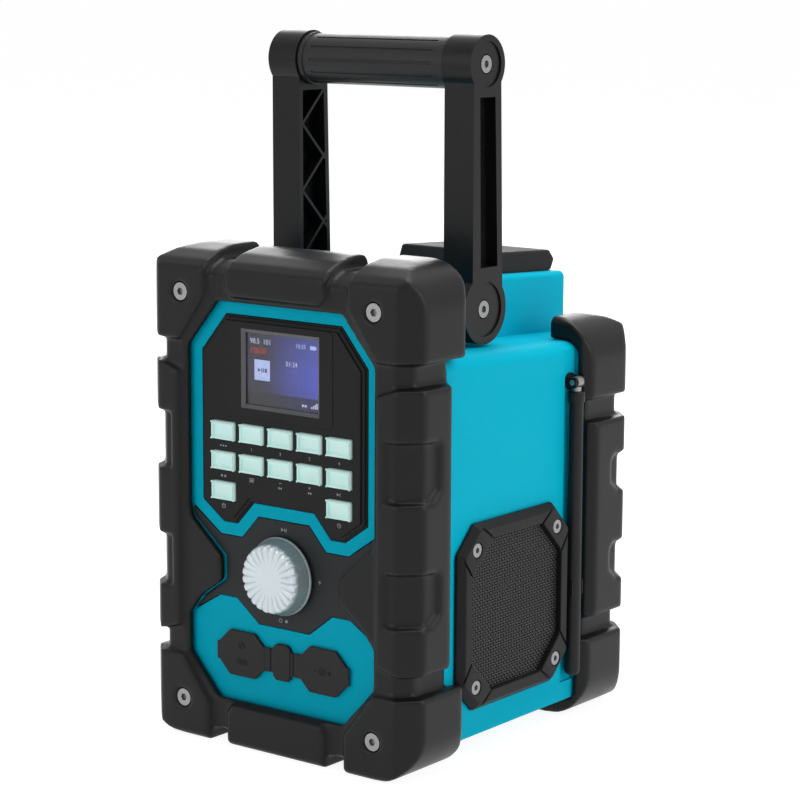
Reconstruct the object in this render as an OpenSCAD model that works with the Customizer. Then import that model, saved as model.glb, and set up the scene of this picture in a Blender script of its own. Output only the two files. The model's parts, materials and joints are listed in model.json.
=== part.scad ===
/* [Overall] */
// Width over the bumper pads
bumper_w = 182; // [176:1:224]
// Height of the front bumper
bumper_h = 266.5; // [262:0.5:330]
// Front face of the front bumper to the back face of the rear bumper
body_depth = 206.5; // [204:0.5:256]
// Height of the rear bumper
rear_bumper_h = 224; // [222:0.5:228]

/* [Bumpers] */
// Thickness of the raised pads over the bumper's band
pad_t = 7; // [5:0.5:8]
// Thickness of the rubber band over the housing under it
band_t = 7; // [5:0.5:8]
// Corner radius of the bumper seen from the front
bumper_r = 24; // [16:1:28]
// Chamfer between the front face and the sides
bumper_chamfer = 10.4; // [8:0.2:14]
// Chamfer between the rear face and the sides
rear_chamfer = 12; // [8:0.2:14]
// Depth of the front bumper's corner blocks
corner_depth = 48; // [46:1:54]
// Depth of the front bumper's side blocks
side_block_depth = 37; // [34:1:38]
// Depth of the rear bumper's corner blocks
rear_corner_depth = 49.5; // [46:0.5:52]
// Depth of the rear bumper's side blocks
rear_block_depth = 44; // [40:0.5:45]
// Depth of the pockets moulded in the side blocks
pocket_t = 2.8; // [1.5:0.1:3]

/* [Housing] */
// Wall of the housing
wall = 3; // [2.4:0.1:4]
// Height of the housing's underside above the ground
ground_gap = 12; // [10:0.5:16]
// How far the band stands out from the side of the housing
band_proud = 1.2; // [0.8:0.1:2]
// Fall of the roof towards the back, in degrees
roof_slope = 3; // [0:0.5:4]
// Height of the side ledges where they meet the front bumper
ledge_z = 217.5; // [212:0.5:217.5]
// Height of the battery tower where it meets the front bumper
tower_z = 251.3; // [244:0.5:251.5]
// Width of the battery tower
tower_w = 82; // [78:1:84]
// Recess of the front panels behind the bumper's face
panel_recess = 8.4; // [7:0.1:10]
// Thickness of the front wall
front_wall = 5.6; // [5.2:0.1:7]

/* [Front panels] */
// Height of the control panel's coloured ring
ring_h = 125.4; // [122:0.2:128]
// Width of the coloured ring's band
ring_band = 6.6; // [4:0.2:8]
// How far the control panel stands proud of its ring
panel_proud = 2.7; // [1:0.1:3.5]
// Depth of the recess that seats the front panels
panel_seat = 3; // [2.5:0.1:3.4]
// Top of the port panel above the ground
port_panel_z = 79.5; // [76:0.5:84]

/* [Display] */
// Width of the display's lit area
screen_w = 48.3; // [44:0.1:52]
// Height of the display's lit area
screen_h = 37.4; // [34:0.1:40]
// Margin of the window round the lit area
screen_margin = 2.2; // [1:0.1:3]

/* [Keys] */
// Height of a key cap
key_h = 9.8; // [8:0.1:11]
// Gap between two key caps
key_gap = 3.7; // [3:0.1:5]
// Height from one key row to the next
row_pitch = 16.2; // [15:0.1:17]
// How far a key stands out from the panel
key_proud = 1; // [0.4:0.1:3]
// Travel of a key
key_travel = 0.8; // [0.4:0.1:1]

/* [Tuning knob] */
// Diameter of the knob's skirt at the panel
knob_d = 42; // [36:1:46]
// Diameter of the knob's front edge
knob_front_d = 38; // [32:1:42]
// Length of the knob
knob_l = 11; // [9:0.5:13]
// Diameter of the encoder's shaft
shaft_d = 6; // [5:0.5:7]
// Push travel of the knob
push_travel = 0.8; // [0.4:0.1:1]

/* [Port covers] */
// Width of a port cover
cover_w = 31; // [28:0.5:33]
// Height of a port cover
cover_h = 25; // [22:0.5:27]
// Middle of a port cover from the centre line
cover_x = 27.6; // [27:0.2:30]

/* [Speakers] */
// Width and height of the speaker frame
frame_w = 100.4; // [80:0.2:100.8]
// Width of the frame's ring, from its edge to the mesh
frame_band = 9.2; // [8:0.1:11]
// Distance from the frame's edges to its screws
frame_screw = 13.4; // [12:0.1:14]
// Middle of the speaker behind the bumper's face
speaker_d = 96.4; // [96:0.1:97]
// Middle of the speaker above the ground
speaker_z = 77; // [74:0.5:90]
// Diameter of the speaker's basket
basket_d = 86; // [80:1:88]

/* [Handle] */
// Outer width of the handle over its arms
handle_w = 136; // [134:1:140]
// Thickness of an arm from side to side
arm_t = 19; // [16:0.5:19]
// Height of the pivot
pivot_z = 234.7; // [234:0.1:236]
// Depth of the pivot behind the bumper's face
pivot_d = 92; // [90:0.5:96]
// Distance from the pivot to the grip
handle_l = 127.7; // [110:0.1:160]
// Radius of the arm's disc round the pivot
disc_r = 18.6; // [16:0.1:18.6]
// Radius of the arm's upper end
arm_top_r = 15.3; // [14:0.1:16.5]
// Diameter of the grip
grip_d = 26.8; // [24:0.2:29]

/* [Battery pack] */
// Width of the battery pack
pack_w = 70; // [68:0.5:71]
// Depth of the pack's head that shows above the tower
pack_head_l = 54; // [52:0.5:56]
// Height of the pack's head
pack_head_h = 11.5; // [9:0.5:13]
// Height of the pack's body in the tower
pack_body_h = 97; // [95.5:0.5:104]
// Press travel of the pack's release button
button_travel = 2; // [1:0.1:2.4]

/* [Antenna] */
// Diameter of the antenna's rod
rod_d = 8.6; // [7:0.2:9]
// Diameter of the antenna's tip
rod_tip_d = 7.6; // [6:0.2:8.6]
// Length of the rod below its joint
rod_l = 159; // [120:1:165]
// Height of the antenna's joint
antenna_z = 190.5; // [186:0.5:194]
// Depth of the groove that the antenna rests in
groove_t = 1.4; // [1:0.1:1.8]

/* [Fits] */
// Gap between two fitted pieces
fit = 0.3; // [0.2:0.05:0.5]
// Running clearance of a shaft or a bolt in its bore
run = 0.05; // [0.02:0.01:0.1]

/* [Hidden] */
$fn = 48;
eps = 0.01;

// The origin is on the ground, under the middle of the whole radio: every depth
// below counts from the front bumper's face, and at_front() moves it to the origin.
knob_face = -5;
front_y = -(body_depth + knob_face) / 2;

// Half widths from the pads inwards
half_w = bumper_w / 2;
band_half = half_w - pad_t;
body_half = band_half - band_proud;
core_half = band_half - band_t;
tower_half = tower_w / 2;

// Depths from front to back
band_face = 3.5;
shell_front = panel_recess;
panel_face = shell_front - panel_proud;
panel_back = shell_front + panel_seat;
wall_back = shell_front + front_wall;
seam_d = side_block_depth + 1.3;
box_back = 44;
rear_corner_face = body_depth - rear_corner_depth;
step_d = body_depth - rear_block_depth + 3;
back_d = body_depth - 6;
tower_back = body_depth - 1;

// Heights of the front layout
core_bottom = pad_t + band_t;
core_top = bumper_h - core_bottom;
ring_top = bumper_h - 27.6;
ring_low = ring_top - ring_h;
ring_half = half_w - 28.1;
notch_half = 17.4;
notch_rise = 12.6;
port_low = 24.3;
port_notch = port_panel_z - 12;
knob_z = (ring_low + notch_rise + port_notch) / 2;
wing_half = ring_half - 22.9;

// Bumper screws
screw_x = half_w - 26;
screw_low = 20.5;
screw_high = bumper_h - 24.2;
bumper_head_d = 9.4;
bumper_head_t = 2.6;
bumper_bore_d = 10.6;
bore_depth = 3.6;
rear_screw_x = core_half - 7;
rear_screw_low = 20.5;
rear_screw_high = rear_bumper_h - 28;
// Shank of every housing screw, and the hole it cuts its thread in
shank_d = 4;
tap_d = shank_d + 0.02;

// Front outlines, right halves from the top down
ring_cut = 20.7;
ring_rise = 13.7;
port_cut = 20;
ring_pts = [[ring_half - ring_cut, ring_top], [ring_half, ring_top - 24.8],
    [ring_half, ring_low + ring_rise], [ring_half - 19.4, ring_low],
    [notch_half + 11.4, ring_low], [notch_half, ring_low + notch_rise]];
port_pts = [[notch_half, port_notch], [notch_half + 15.5, port_panel_z],
    [ring_half - 18.5, port_panel_z], [ring_half, port_panel_z - 11.3],
    [ring_half, port_low + 22], [ring_half - port_cut, port_low]];
opening_pts = [ring_pts[0], ring_pts[1], ring_pts[2], [ring_half - 1.5, ring_low + 7],
    [wing_half, knob_z + 5], [wing_half, knob_z - 8], [wing_half + 14.5, knob_z - 18],
    port_pts[3], port_pts[4], port_pts[5]];
centre_pts = [ring_pts[5], ring_pts[4], ring_pts[3], ring_pts[2], opening_pts[3], opening_pts[4],
    opening_pts[5], opening_pts[6], port_pts[3], port_pts[2], port_pts[1], port_pts[0]];

// Pad outlines of the bumpers, right halves
top_corner_pts = [[half_w - 42.5, bumper_h - 24.8], [half_w - 42.5, bumper_h + 1],
    [half_w + 1, bumper_h + 1], [half_w + 1, bumper_h - 49.5],
    [half_w - 24.6, bumper_h - 49.5], [half_w - 30, bumper_h - 42.2]];
low_corner_pts = [[half_w - 44.9, -1], [half_w - 44.9, 20.6], [half_w - 26, 44.7],
    [half_w + 1, 45.2], [half_w + 1, -1]];
block_low = 57;
block_pts = [[half_w - 24, bumper_h - 66.5], [half_w - 11, bumper_h - 62.2],
    [half_w + 1, bumper_h - 62.2], [half_w + 1, block_low],
    [half_w - 11, block_low], [half_w - 24, block_low + 4]];
pockets = [[bumper_h - 120.5, bumper_h - 89], [82, 110]];
rear_top_pts = [[half_w - 26.4, rear_bumper_h - 44.5], [half_w - 26.4, rear_bumper_h + 1],
    [half_w + 1, rear_bumper_h + 1], [half_w + 1, rear_bumper_h - 44.5]];
rear_block_pts = [[half_w - 24, rear_bumper_h - 57.5], [half_w + 1, rear_bumper_h - 57.5],
    [half_w + 1, block_low], [half_w - 24, block_low]];
rear_pockets = [[rear_bumper_h - 99, rear_bumper_h - 78], [75, 96]];
plate_half = 33.5;
top_plate_pts = [[plate_half, bumper_h + 1], [plate_half, bumper_h - 20], [plate_half - 4, bumper_h - 24]];
low_plate_pts = mirrored([[plate_half - 3, 22.5], [plate_half, 18], [plate_half, -1]]);

// Keys: five columns across the control panel, the last row has the outer two
panel_inset = ring_band + 3.2;
panel_half = ring_half - panel_inset;
plate_back = shell_front - 0.2;
key_margin = 5.8;
key_pitch = (2 * (panel_half - key_margin) + key_gap) / 5;
key_w = key_pitch - key_gap;
row_top = ring_top - 69;
key_rows = [[-2, -1, 0, 1, 2], [-2, -1, 0, 1, 2], [-2, 2]];
flange_rim = 1;
flange_t = 1.2;
stem_d = 4;
flange_d = plate_back + 0.1;
switch_top = flange_d + flange_t + key_travel + 8;
switch_h = 3.5;
board_d = switch_top + switch_h;
board_t = 1.6;

// Display
screen_z = ring_top - 34.2;
window_w = screen_w + 2 * screen_margin;
window_h = screen_h + 2 * screen_margin;
glass_t = 1;
module_w = 60.3;
module_h = 43;

// Knob and encoder
encoder_d = wall_back + 1.5;
bush_d = shaft_d + 1;
chamber_d = shaft_d + 4;
collar_t = 1.2;
plunger_t = 2.4;

// Ports
cover_z = port_low + 25.5;
cover_t = 1.9;
cover_chamfer = 7;
link_half = 5.7;
link_h = 20;
neck_h = 13;
neck_t = 1.5;
cover_face = shell_front - fit - cover_t;
hinge_x = link_half + 2;
rim_inset = 2.6;
rim_t = 1.4;
rim_h = 2.8;
pocket_depth = 4;

// Speakers
frame_in = body_half + fit;
frame_out = half_w - 2.6;
frame_chamfer = 14.6;
frame_bevel = 3.4;
frame_groove = 1.2;
frame_bolt = frame_w / 2 - frame_screw;
mesh_w = frame_w - 2 * frame_band;
mesh_chamfer = 18;
mesh_out = frame_in + 2.2;
mesh_t = 1;
boss_d = 8;
frame_head_d = 7.4;
cone_travel = 1;
cone_rim = basket_d / 2 - 6.4 - cone_travel;
coil_r = 13;

// Handle
arm_out = handle_w / 2;
arm_in = arm_out - arm_t;
arm_shift = 2;
arm_half_top = 11.9;
arm_half_low = 13.4;
web_t = 3;
slot_t = 7;
bolt_d = 8;
bolt_head_d = 9.2;
bolt_head_t = 2.5;
head_seat = 3.4;
tube_d = 20;

// Battery pack, upright in the tower and square to its roof
pack_front = 112;
pack_body_l = 44;
pack_wall = 2.2;
cell_d = 18;
cell_l = 65;
cell_pitch = 18.4;
well_wall = 2.5;
well_gap = 0.5;
button_t = 2.6;
button_w = 30;
button_h = 6;

// Antenna
rod_x = half_w - 4.5;
groove_x = body_half - groove_t;
knuckle_w = 5;
knuckle_l = 9.5;
antenna_d = rear_corner_face - 0.5 - rod_d / 2;
groove_w = 12.6;
pin_d = 3;
clip_z = 76;

module at_front() translate([0, front_y, 0]) children();
module both_sides() { children(); mirror([1, 0, 0]) children(); }

// A flat outline of width and height, drawn out along the depth from d
module along_depth(d, t) translate([0, d + t, 0]) rotate([90, 0, 0]) linear_extrude(t) children();
// A flat outline of depth and height, drawn out along the width from x
module along_width(x, t) translate([x, 0, 0]) rotate([90, 0, 90]) linear_extrude(t) children();

// A drawing turned so that its height runs back along the depth, out along the
// width, or in towards the middle
module to_back(p) translate(p) rotate([-90, 0, 0]) children();
module to_side(p) translate(p) rotate([0, 90, 0]) children();
module to_inside(p) translate(p) rotate([0, -90, 0]) children();

// The same drawing at four corners, seen from the front
module at_corners(x, low, high) for (side = [-x, x], z = [low, high]) translate([side, 0, z]) children();

function mirrored(pts) = concat(pts, [for (i = [len(pts) - 1 : -1 : 0]) [-pts[i][0], pts[i][1]]]);

module rounded_rect(half, z0, z1, r) translate([0, (z0 + z1) / 2])
    offset(r) square([2 * (half - r), z1 - z0 - 2 * r], center = true);

function octagon_points(w, h, c) = [[-w / 2 + c, -h / 2], [w / 2 - c, -h / 2],
    [w / 2, -h / 2 + c], [w / 2, h / 2 - c], [w / 2 - c, h / 2], [-w / 2 + c, h / 2],
    [-w / 2, h / 2 - c], [-w / 2, -h / 2 + c]];
module octagon(w, h, c) polygon(octagon_points(w, h, c));

module cap_screw(head_d, head_t, length) {
    difference() {
        cylinder(d = head_d, h = head_t);
        translate([0, 0, -eps]) cylinder(d = head_d * 0.45, h = head_t * 0.6, $fn = 6);
    }
    translate([0, 0, head_t]) cylinder(d = shank_d, h = length - head_t);
}

// ---- Bumpers ----

// Outer form of a bumper with its chamfered face at depth 0, shrunk by inset
module bumper_form(inset, back, height, chamfer = bumper_chamfer) {
    half = half_w - inset;
    intersection() {
        along_depth(-1, back + 2) rounded_rect(half, inset, height - inset, bumper_r - inset);
        translate([0, 0, -1]) linear_extrude(height + 2)
            polygon(mirrored([[half - chamfer, inset], [half, chamfer + inset],
                [half, back - 4.5], [half - 4.5, back]]));
        along_width(-half - 1, 2 * half + 2)
            polygon([[inset, inset + 2.2], [inset, height - 10.5 - inset],
                [inset + 5, height - 6.5 - inset], [inset + 14, height - 2.5 - inset],
                [inset + 27, height - inset], [back - 3, height - inset], [back, height - 3 - inset],
                [back, inset], [inset + 2.2, inset]]);
    }
}

module pocket_mask(z0, z1) both_sides() along_width(half_w - 19, 20)
    polygon([[-1, z0], [17, z0], [24, z0 + 6], [24, z1 - 3], [21, z1], [-1, z1]]);

module bumper_pockets(rows, height, chamfer = bumper_chamfer) difference() {
    for (row = rows) pocket_mask(row[0], row[1]);
    bumper_form(pocket_t, 60, height, chamfer);
}

module front_pads() {
    intersection() {
        bumper_form(0, corner_depth, bumper_h);
        both_sides() along_depth(-1, corner_depth + 2) {
            polygon(top_corner_pts);
            polygon(low_corner_pts);
        }
    }
    intersection() {
        bumper_form(0, side_block_depth, bumper_h);
        along_depth(-1, side_block_depth + 2) {
            polygon(mirrored(top_plate_pts));
            polygon(low_plate_pts);
            both_sides() polygon(block_pts);
        }
    }
}

module housing_core(d0, d1, gap) along_depth(d0, d1 - d0)
    rounded_rect(core_half + gap, core_bottom - gap, core_top + gap, bumper_r - core_bottom + gap);

module bumper_screw_bore() to_back([0, -1, 0]) {
    cylinder(d = bumper_bore_d, h = bore_depth + 1);
    cylinder(d = shank_d + 2 * fit, h = 30);
}

module front_bumper() color([0.16, 0.16, 0.17]) at_front() difference() {
    union() {
        front_pads();
        intersection() {
            bumper_form(pad_t, seam_d - fit, bumper_h);
            translate([-half_w, band_face, 0]) cube([bumper_w, seam_d - fit - band_face, bumper_h]);
        }
        intersection() {
            bumper_form(band_face, seam_d - fit, bumper_h);
            along_depth(0, seam_d) rounded_rect(band_half, pad_t, bumper_h - pad_t, bumper_r - pad_t);
        }
    }
    housing_core(shell_front - fit, corner_depth + 1, fit);
    along_depth(-1, 20) polygon(mirrored(opening_pts));
    translate([0, seam_d - fit, 0]) sloped(0, corner_depth) body_section(fit);
    bumper_pockets(pockets, bumper_h);
    at_corners(screw_x, screw_low, screw_high) bumper_screw_bore();
    // The low corner blocks are notched for the speaker frames
    both_sides() at_speaker(frame_in - fit) linear_extrude(20)
        octagon(frame_w + 2 * fit, frame_w + 2 * fit, frame_chamfer);
}

module rear_pads() {
    intersection() {
        bumper_form(0, rear_corner_depth, rear_bumper_h, rear_chamfer);
        both_sides() along_depth(-1, rear_corner_depth + 2) {
            polygon(rear_top_pts);
            polygon(low_corner_pts);
        }
    }
    intersection() {
        bumper_form(0, rear_block_depth, rear_bumper_h, rear_chamfer);
        along_depth(-1, rear_block_depth + 2) {
            both_sides() polygon(rear_block_pts);
            polygon(low_plate_pts);
        }
    }
}

// The rear bumper is drawn like the front one and turned to face backwards
module facing_back() translate([0, body_depth, 0]) mirror([0, 1, 0]) children();

module rear_bumper() color([0.16, 0.16, 0.17]) at_front() facing_back() difference() {
    union() {
        rear_pads();
        intersection() {
            bumper_form(band_face, rear_block_depth - 1, rear_bumper_h, rear_chamfer);
            along_depth(0, rear_block_depth)
                rounded_rect(band_half, pad_t, rear_bumper_h - pad_t, bumper_r - pad_t);
        }
    }
    facing_back() sloped(0, back_d + fit) rear_section(fit);
    facing_back() sloped(0, step_d + fit) body_section(fit);
    along_depth(-1, 20) rounded_rect(core_half - 17, 34, rear_bumper_h + 40, 8);
    translate([-half_w + 26.4, -1, rear_bumper_h - 40]) cube([bumper_w - 52.8, 60, 60]);
    bumper_pockets(rear_pockets, rear_bumper_h, rear_chamfer);
    at_corners(rear_screw_x, rear_screw_low, rear_screw_high) bumper_screw_bore();
}

module bumper_screws() color([0.75, 0.75, 0.76]) at_front() {
    at_corners(screw_x, screw_low, screw_high)
        to_back([0, bore_depth - bumper_head_t, 0]) cap_screw(bumper_head_d, bumper_head_t, 18);
    facing_back() at_corners(rear_screw_x, rear_screw_low, rear_screw_high)
        to_back([0, bore_depth - bumper_head_t, 0]) cap_screw(bumper_head_d, bumper_head_t, 14);
}

// ---- Housing ----

// An outline of width and height, drawn out along the sloping roof and cut square
module sloped(d0, d1) intersection() {
    translate([0, seam_d, 0]) rotate([-roof_slope, 0, 0])
        translate([0, 300, 0]) rotate([90, 0, 0]) linear_extrude(600) children();
    translate([-half_w, d0, ground_gap - fit]) cube([bumper_w, d1 - d0, bumper_h]);
}

module below_ledge(half, gap, r) translate([0, (ledge_z * cos(roof_slope) - 60) / 2]) offset(r)
    square([2 * (half + gap - r), ledge_z * cos(roof_slope) + 60 + 2 * gap - 2 * r], center = true);
module body_section(gap) below_ledge(body_half, gap, 8.5);
module rear_section(gap) below_ledge(core_half, gap, 8);
module body_inside(half) below_ledge(half, -wall, 6);

module tower_section(inset) translate([0, tower_z * cos(roof_slope) / 2]) offset(3.5)
    square([2 * (tower_half - inset) - 7, tower_z * cos(roof_slope) - 2 * inset - 7], center = true);

// The frame of the tower's roof, with its height counted from the roof
module roof_frame() translate([0, seam_d, tower_z]) rotate([-roof_slope, 0, 0]) children();

// Behind the rest of the housing, the tower starts above the rear bumper's lower bar
tower_low = 34.3;
module tower_body(d0, inset) {
    sloped(d0, back_d - inset) tower_section(inset);
    intersection() {
        sloped(d0, tower_back - inset) tower_section(inset);
        translate([-half_w, 0, tower_low + inset]) cube([bumper_w, 2 * body_depth, bumper_h]);
    }
}

well_half = pack_w / 2 + well_gap;
well_front = pack_front + 5;
well_l = pack_body_l + 2 * well_gap;
well_floor = -pack_body_h - 2.5;
module well_block(grow, below, h) translate([-well_half - grow, well_front - grow, well_floor - below])
    cube([2 * (well_half + grow), well_l + 2 * grow, h]);

module screw_boss(d0, d1) to_back([0, d0, 0]) difference() {
    cylinder(d = boss_d, h = d1 - d0);
    translate([0, 0, -1]) cylinder(d = tap_d, h = 14);
}

module front_shell() color([0.02, 0.62, 0.75]) at_front() difference() {
    union() {
        difference() {
            housing_core(shell_front, box_back, 0);
            housing_core(wall_back, box_back - wall, -wall);
            intersection() {
                housing_core(wall_back, box_back + 1, -wall);
                sloped(wall_back, box_back + 1) union() {
                    translate([0, -20]) rounded_rect(core_half - wall, 0, ledge_z + 16, 6);
                    tower_section(wall);
                }
            }
        }
        at_corners(screw_x, screw_low, screw_high) screw_boss(shell_front, shell_front + 16);
    }
    at_corners(screw_x, screw_low, screw_high) to_back([0, shell_front - 1, 0]) cylinder(d = tap_d, h = 13);
    along_depth(shell_front - 1, 1 + panel_seat) offset(delta = -ring_band) polygon(mirrored(ring_pts));
    along_depth(shell_front - 1, 1 + panel_seat) polygon(mirrored(centre_pts));
    translate([-module_w / 2 - fit, shell_front, screen_z - module_h / 2 - fit])
        cube([module_w + 2 * fit, front_wall + 1, module_h + 2 * fit]);
    for (r = [0 : 2], c = key_rows[r])
        key_block(r, c, shell_front, front_wall + 1, flange_rim + 2 * fit);
    to_back([0, shell_front, knob_z]) cylinder(d = bush_d + 2 * fit, h = front_wall + 1);
    both_sides() port_pocket();
    translate([-cover_x, 0, 0]) usb_hole(fit);
    translate([-cover_x, 0, 0]) aux_hole(fit);
    translate([cover_x, 0, 0]) dc_hole(fit);
}

module main_shell() color([0.02, 0.62, 0.75]) at_front() difference() {
    union() {
        difference() {
            union() {
                sloped(seam_d, step_d) body_section(0);
                sloped(seam_d, back_d) rear_section(0);
                tower_body(box_back + fit, 0);
            }
            sloped(seam_d - 1, step_d - wall) body_inside(body_half);
            sloped(seam_d - 1, back_d - wall) body_inside(core_half);
            tower_body(box_back - 1, wall);
            cut_floor();
        }
        floor_plate();
        along_depth(tower_back - cover_seat, cover_seat - wall + eps) cover_outline(-3);
        intersection() {
            roof_frame() well_block(well_wall, well_wall, pack_body_h + 4);
            tower_body(box_back + fit, 0);
        }
        both_sides() pivot_boss();
        both_sides() at_frame_screws(body_half - 12) cylinder(d = boss_d, h = 11);
        at_corners(cover_boss_x, cover_boss_low, cover_boss_high)
            to_back([0, tower_back - 15, 0]) cylinder(d = boss_d, h = 12);
        at_corners(rear_screw_x, rear_screw_low, rear_screw_high)
            to_back([0, back_d - 14, 0]) cylinder(d = boss_d, h = 13);
        for (x = [-board_post_x, board_post_x], d = [board_post_front, board_post_back])
            translate([x, d, ground_gap + 1]) cylinder(d = 7, h = board_z - ground_gap - 1);
    }
    housing_core(seam_d - 1, box_back + fit, fit);
    roof_frame() well_block(0, 0, pack_body_h + 30);
    roof_frame() translate([-terminal_w / 2 - fit, well_front + 6, well_floor - 4])
        cube([terminal_w + 2 * fit, terminal_l + 2 * fit, 6]);
    both_sides() to_side([body_half - 20, speaker_d, speaker_z]) cylinder(d = basket_d - 8, h = 30);
    both_sides() at_frame_screws(body_half - 11) cylinder(d = tap_d, h = 12);
    both_sides() to_side([tower_half - 8, pivot_d, pivot_z]) cylinder(d = bolt_d + 0.02, h = 60);
    along_depth(tower_back - cover_plate_t, wall) cover_outline(-fit);
    along_depth(tower_back - 7, 8) cover_outline(cover_rim);
    at_corners(cover_boss_x, cover_boss_low, cover_boss_high)
        to_back([0, tower_back - 13, 0]) cylinder(d = tap_d, h = 14);
    at_corners(rear_screw_x, rear_screw_low, rear_screw_high)
        to_back([0, back_d - 12, 0]) cylinder(d = tap_d, h = 14);
    translate([groove_x, antenna_d - groove_w / 2, antenna_z - rod_l - 9]) cube([10, groove_w, bumper_h]);
    for (z = [antenna_z, clip_z])
        to_side([body_half - wall - 1, antenna_d, z]) cylinder(d = stud_d + 0.02, h = wall + 2);
}

// The housing's floor lies level although its roof slopes
module cut_floor() translate([-body_half - 1, seam_d - 1, -50])
    cube([2 * body_half + 2, body_depth, 50 + ground_gap]);
module floor_plate() {
    translate([-body_half, seam_d, ground_gap]) cube([2 * body_half, step_d - seam_d, wall]);
    translate([-core_half, step_d - 1, ground_gap]) cube([2 * core_half, back_d - step_d + 1, wall]);
}

boss_gap = 0.4;
module pivot_boss() to_side([tower_half - 1, pivot_d, pivot_z])
    cylinder(r = disc_r - 4, h = arm_in - boss_gap - tower_half + 1);

cover_half = 33;
cover_low = 42;
cover_high = 138;
cover_boss_x = cover_half - 5;
cover_boss_low = cover_low + 5;
cover_boss_high = cover_high - 5;
cover_plate_t = 2.6;
cover_seat = 5.6;
cover_rim = 9;
cover_head_d = 7;
module cover_outline(inset) rounded_rect(cover_half - inset, cover_low + inset, cover_high - inset, 6);

module rear_cover() color([0.13, 0.13, 0.14]) at_front() difference() {
    union() {
        along_depth(tower_back - cover_plate_t + eps, cover_plate_t) cover_outline(0);
        along_depth(tower_back - cover_seat, cover_seat - cover_plate_t + 0.2) cover_outline(cover_rim + fit);
    }
    at_corners(cover_boss_x, cover_boss_low, cover_boss_high) to_back([0, tower_back, 0]) {
        translate([0, 0, -8]) cylinder(d = shank_d + 0.4, h = 10);
        translate([0, 0, -1.4]) cylinder(d = cover_head_d + 1, h = 3);
    }
    for (i = [-3 : 3])
        translate([-20, tower_back - cover_seat - 1, (cover_low + cover_high) / 2 + i * 7 - 1.5])
        cube([40, 9, 3]);
}

module rear_cover_screws() color([0.75, 0.75, 0.76]) at_front()
    at_corners(cover_boss_x, cover_boss_low, cover_boss_high)
        translate([0, tower_back + 0.6, 0]) rotate([90, 0, 0]) cap_screw(cover_head_d, 2, 12);

// ---- Front panels ----

module panel_outline(inset) offset(delta = -inset) polygon(mirrored(ring_pts));

module at_key(row, column, d) translate([column * key_pitch, d, row_top - row * row_pitch]) children();
module key_block(row, column, d, t, grow) at_key(row, column, d)
    translate([-key_w / 2 - grow, 0, -key_h / 2 - grow]) cube([key_w + 2 * grow, t, key_h + 2 * grow]);

module control_panel() color([0.12, 0.12, 0.13]) at_front() difference() {
    union() {
        along_depth(panel_face, 1.4) panel_outline(panel_inset);
        along_depth(panel_face + 1.3, plate_back - panel_face - 1.3) panel_outline(ring_band + fit + 1);
        along_depth(plate_back - eps, panel_back - 0.1 - plate_back) difference() {
            panel_outline(ring_band + fit);
            panel_outline(ring_band + fit + 2);
        }
    }
    translate([-window_w / 2, panel_face - 1, screen_z - window_h / 2]) cube([window_w, 6, window_h]);
    for (r = [0 : 2], c = key_rows[r]) key_block(r, c, panel_face - 1, 6, fit);
}

module display_window() color([0.3, 0.35, 0.55, 0.5]) at_front()
    translate([-window_w / 2 + 0.1, plate_back - glass_t, screen_z - window_h / 2 + 0.1])
        cube([window_w - 0.2, glass_t, window_h - 0.2]);

module display_module() color([0.08, 0.1, 0.3]) at_front()
    translate([-module_w / 2, plate_back + 0.1, screen_z - module_h / 2]) cube([module_w, 4.4, module_h]);

module key_board() color([0.05, 0.3, 0.12]) at_front() {
    board_top = row_top + key_h;
    board_low = row_top - 2 * row_pitch - key_h;
    difference() {
        translate([-panel_half - 1, board_d, board_low])
            cube([2 * panel_half + 2, board_t, board_top - board_low]);
        to_back([0, board_d - 1, board_low]) cylinder(d = 16, h = board_t + 2);
    }
    for (r = [0 : 2], c = key_rows[r])
        at_key(r, c, switch_top) translate([-3, 0, -3]) cube([6, switch_h + eps, 6]);
    for (x = [-panel_half + 1, panel_half - 1], z = [board_low + 3, board_top - 3])
        to_back([x, wall_back, z]) cylinder(d = 4, h = board_d - wall_back + eps);
}

module key(row, column) color([0.74, 0.9, 0.86]) at_front() {
    key_block(row, column, panel_face - key_proud, flange_d + eps - panel_face + key_proud, 0);
    key_block(row, column, flange_d, flange_t, flange_rim);
    at_key(row, column, flange_d + flange_t) rotate([-90, 0, 0])
        cylinder(d = stem_d, h = switch_top - flange_d - flange_t - key_travel - 0.2);
}

module centre_panel() color([0.14, 0.14, 0.15]) at_front() difference() {
    along_depth(shell_front - 0.4, panel_back - shell_front + 0.3)
        offset(delta = -fit) polygon(mirrored(centre_pts));
    to_back([0, 0, knob_z]) cylinder(d = bush_d + 2 * fit, h = 30);
}

// ---- Tuning knob and its encoder, in line along the depth ----

module in_line(d) to_back([0, d, knob_z]) children();

module encoder_body() color([0.55, 0.56, 0.58]) at_front() difference() {
    union() {
        in_line(shell_front - 2) cylinder(d = bush_d, h = encoder_d - shell_front + 2 + eps);
        translate([-7, encoder_d, knob_z - 7]) cube([14, 8, 14]);
        in_line(wall_back + eps) cylinder(d = bush_d + 5, h = 1.4);
    }
    in_line(shell_front - 3) cylinder(d = shaft_d + 2 * run, h = 20);
    in_line(encoder_d + 1) cylinder(d = chamber_d, h = collar_t + plunger_t + push_travel + 1.6);
}

module encoder_shaft() color([0.7, 0.7, 0.72]) at_front() {
    in_line(knob_face + 3) cylinder(d = shaft_d, h = encoder_d + 1.2 - knob_face - 3);
    in_line(encoder_d + 1.1) cylinder(d = chamber_d - 1, h = collar_t);
}

module encoder_plunger() color([0.8, 0.8, 0.78]) at_front()
    in_line(encoder_d + 1.1 + collar_t + 0.1) cylinder(d = chamber_d - 2, h = plunger_t);

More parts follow.
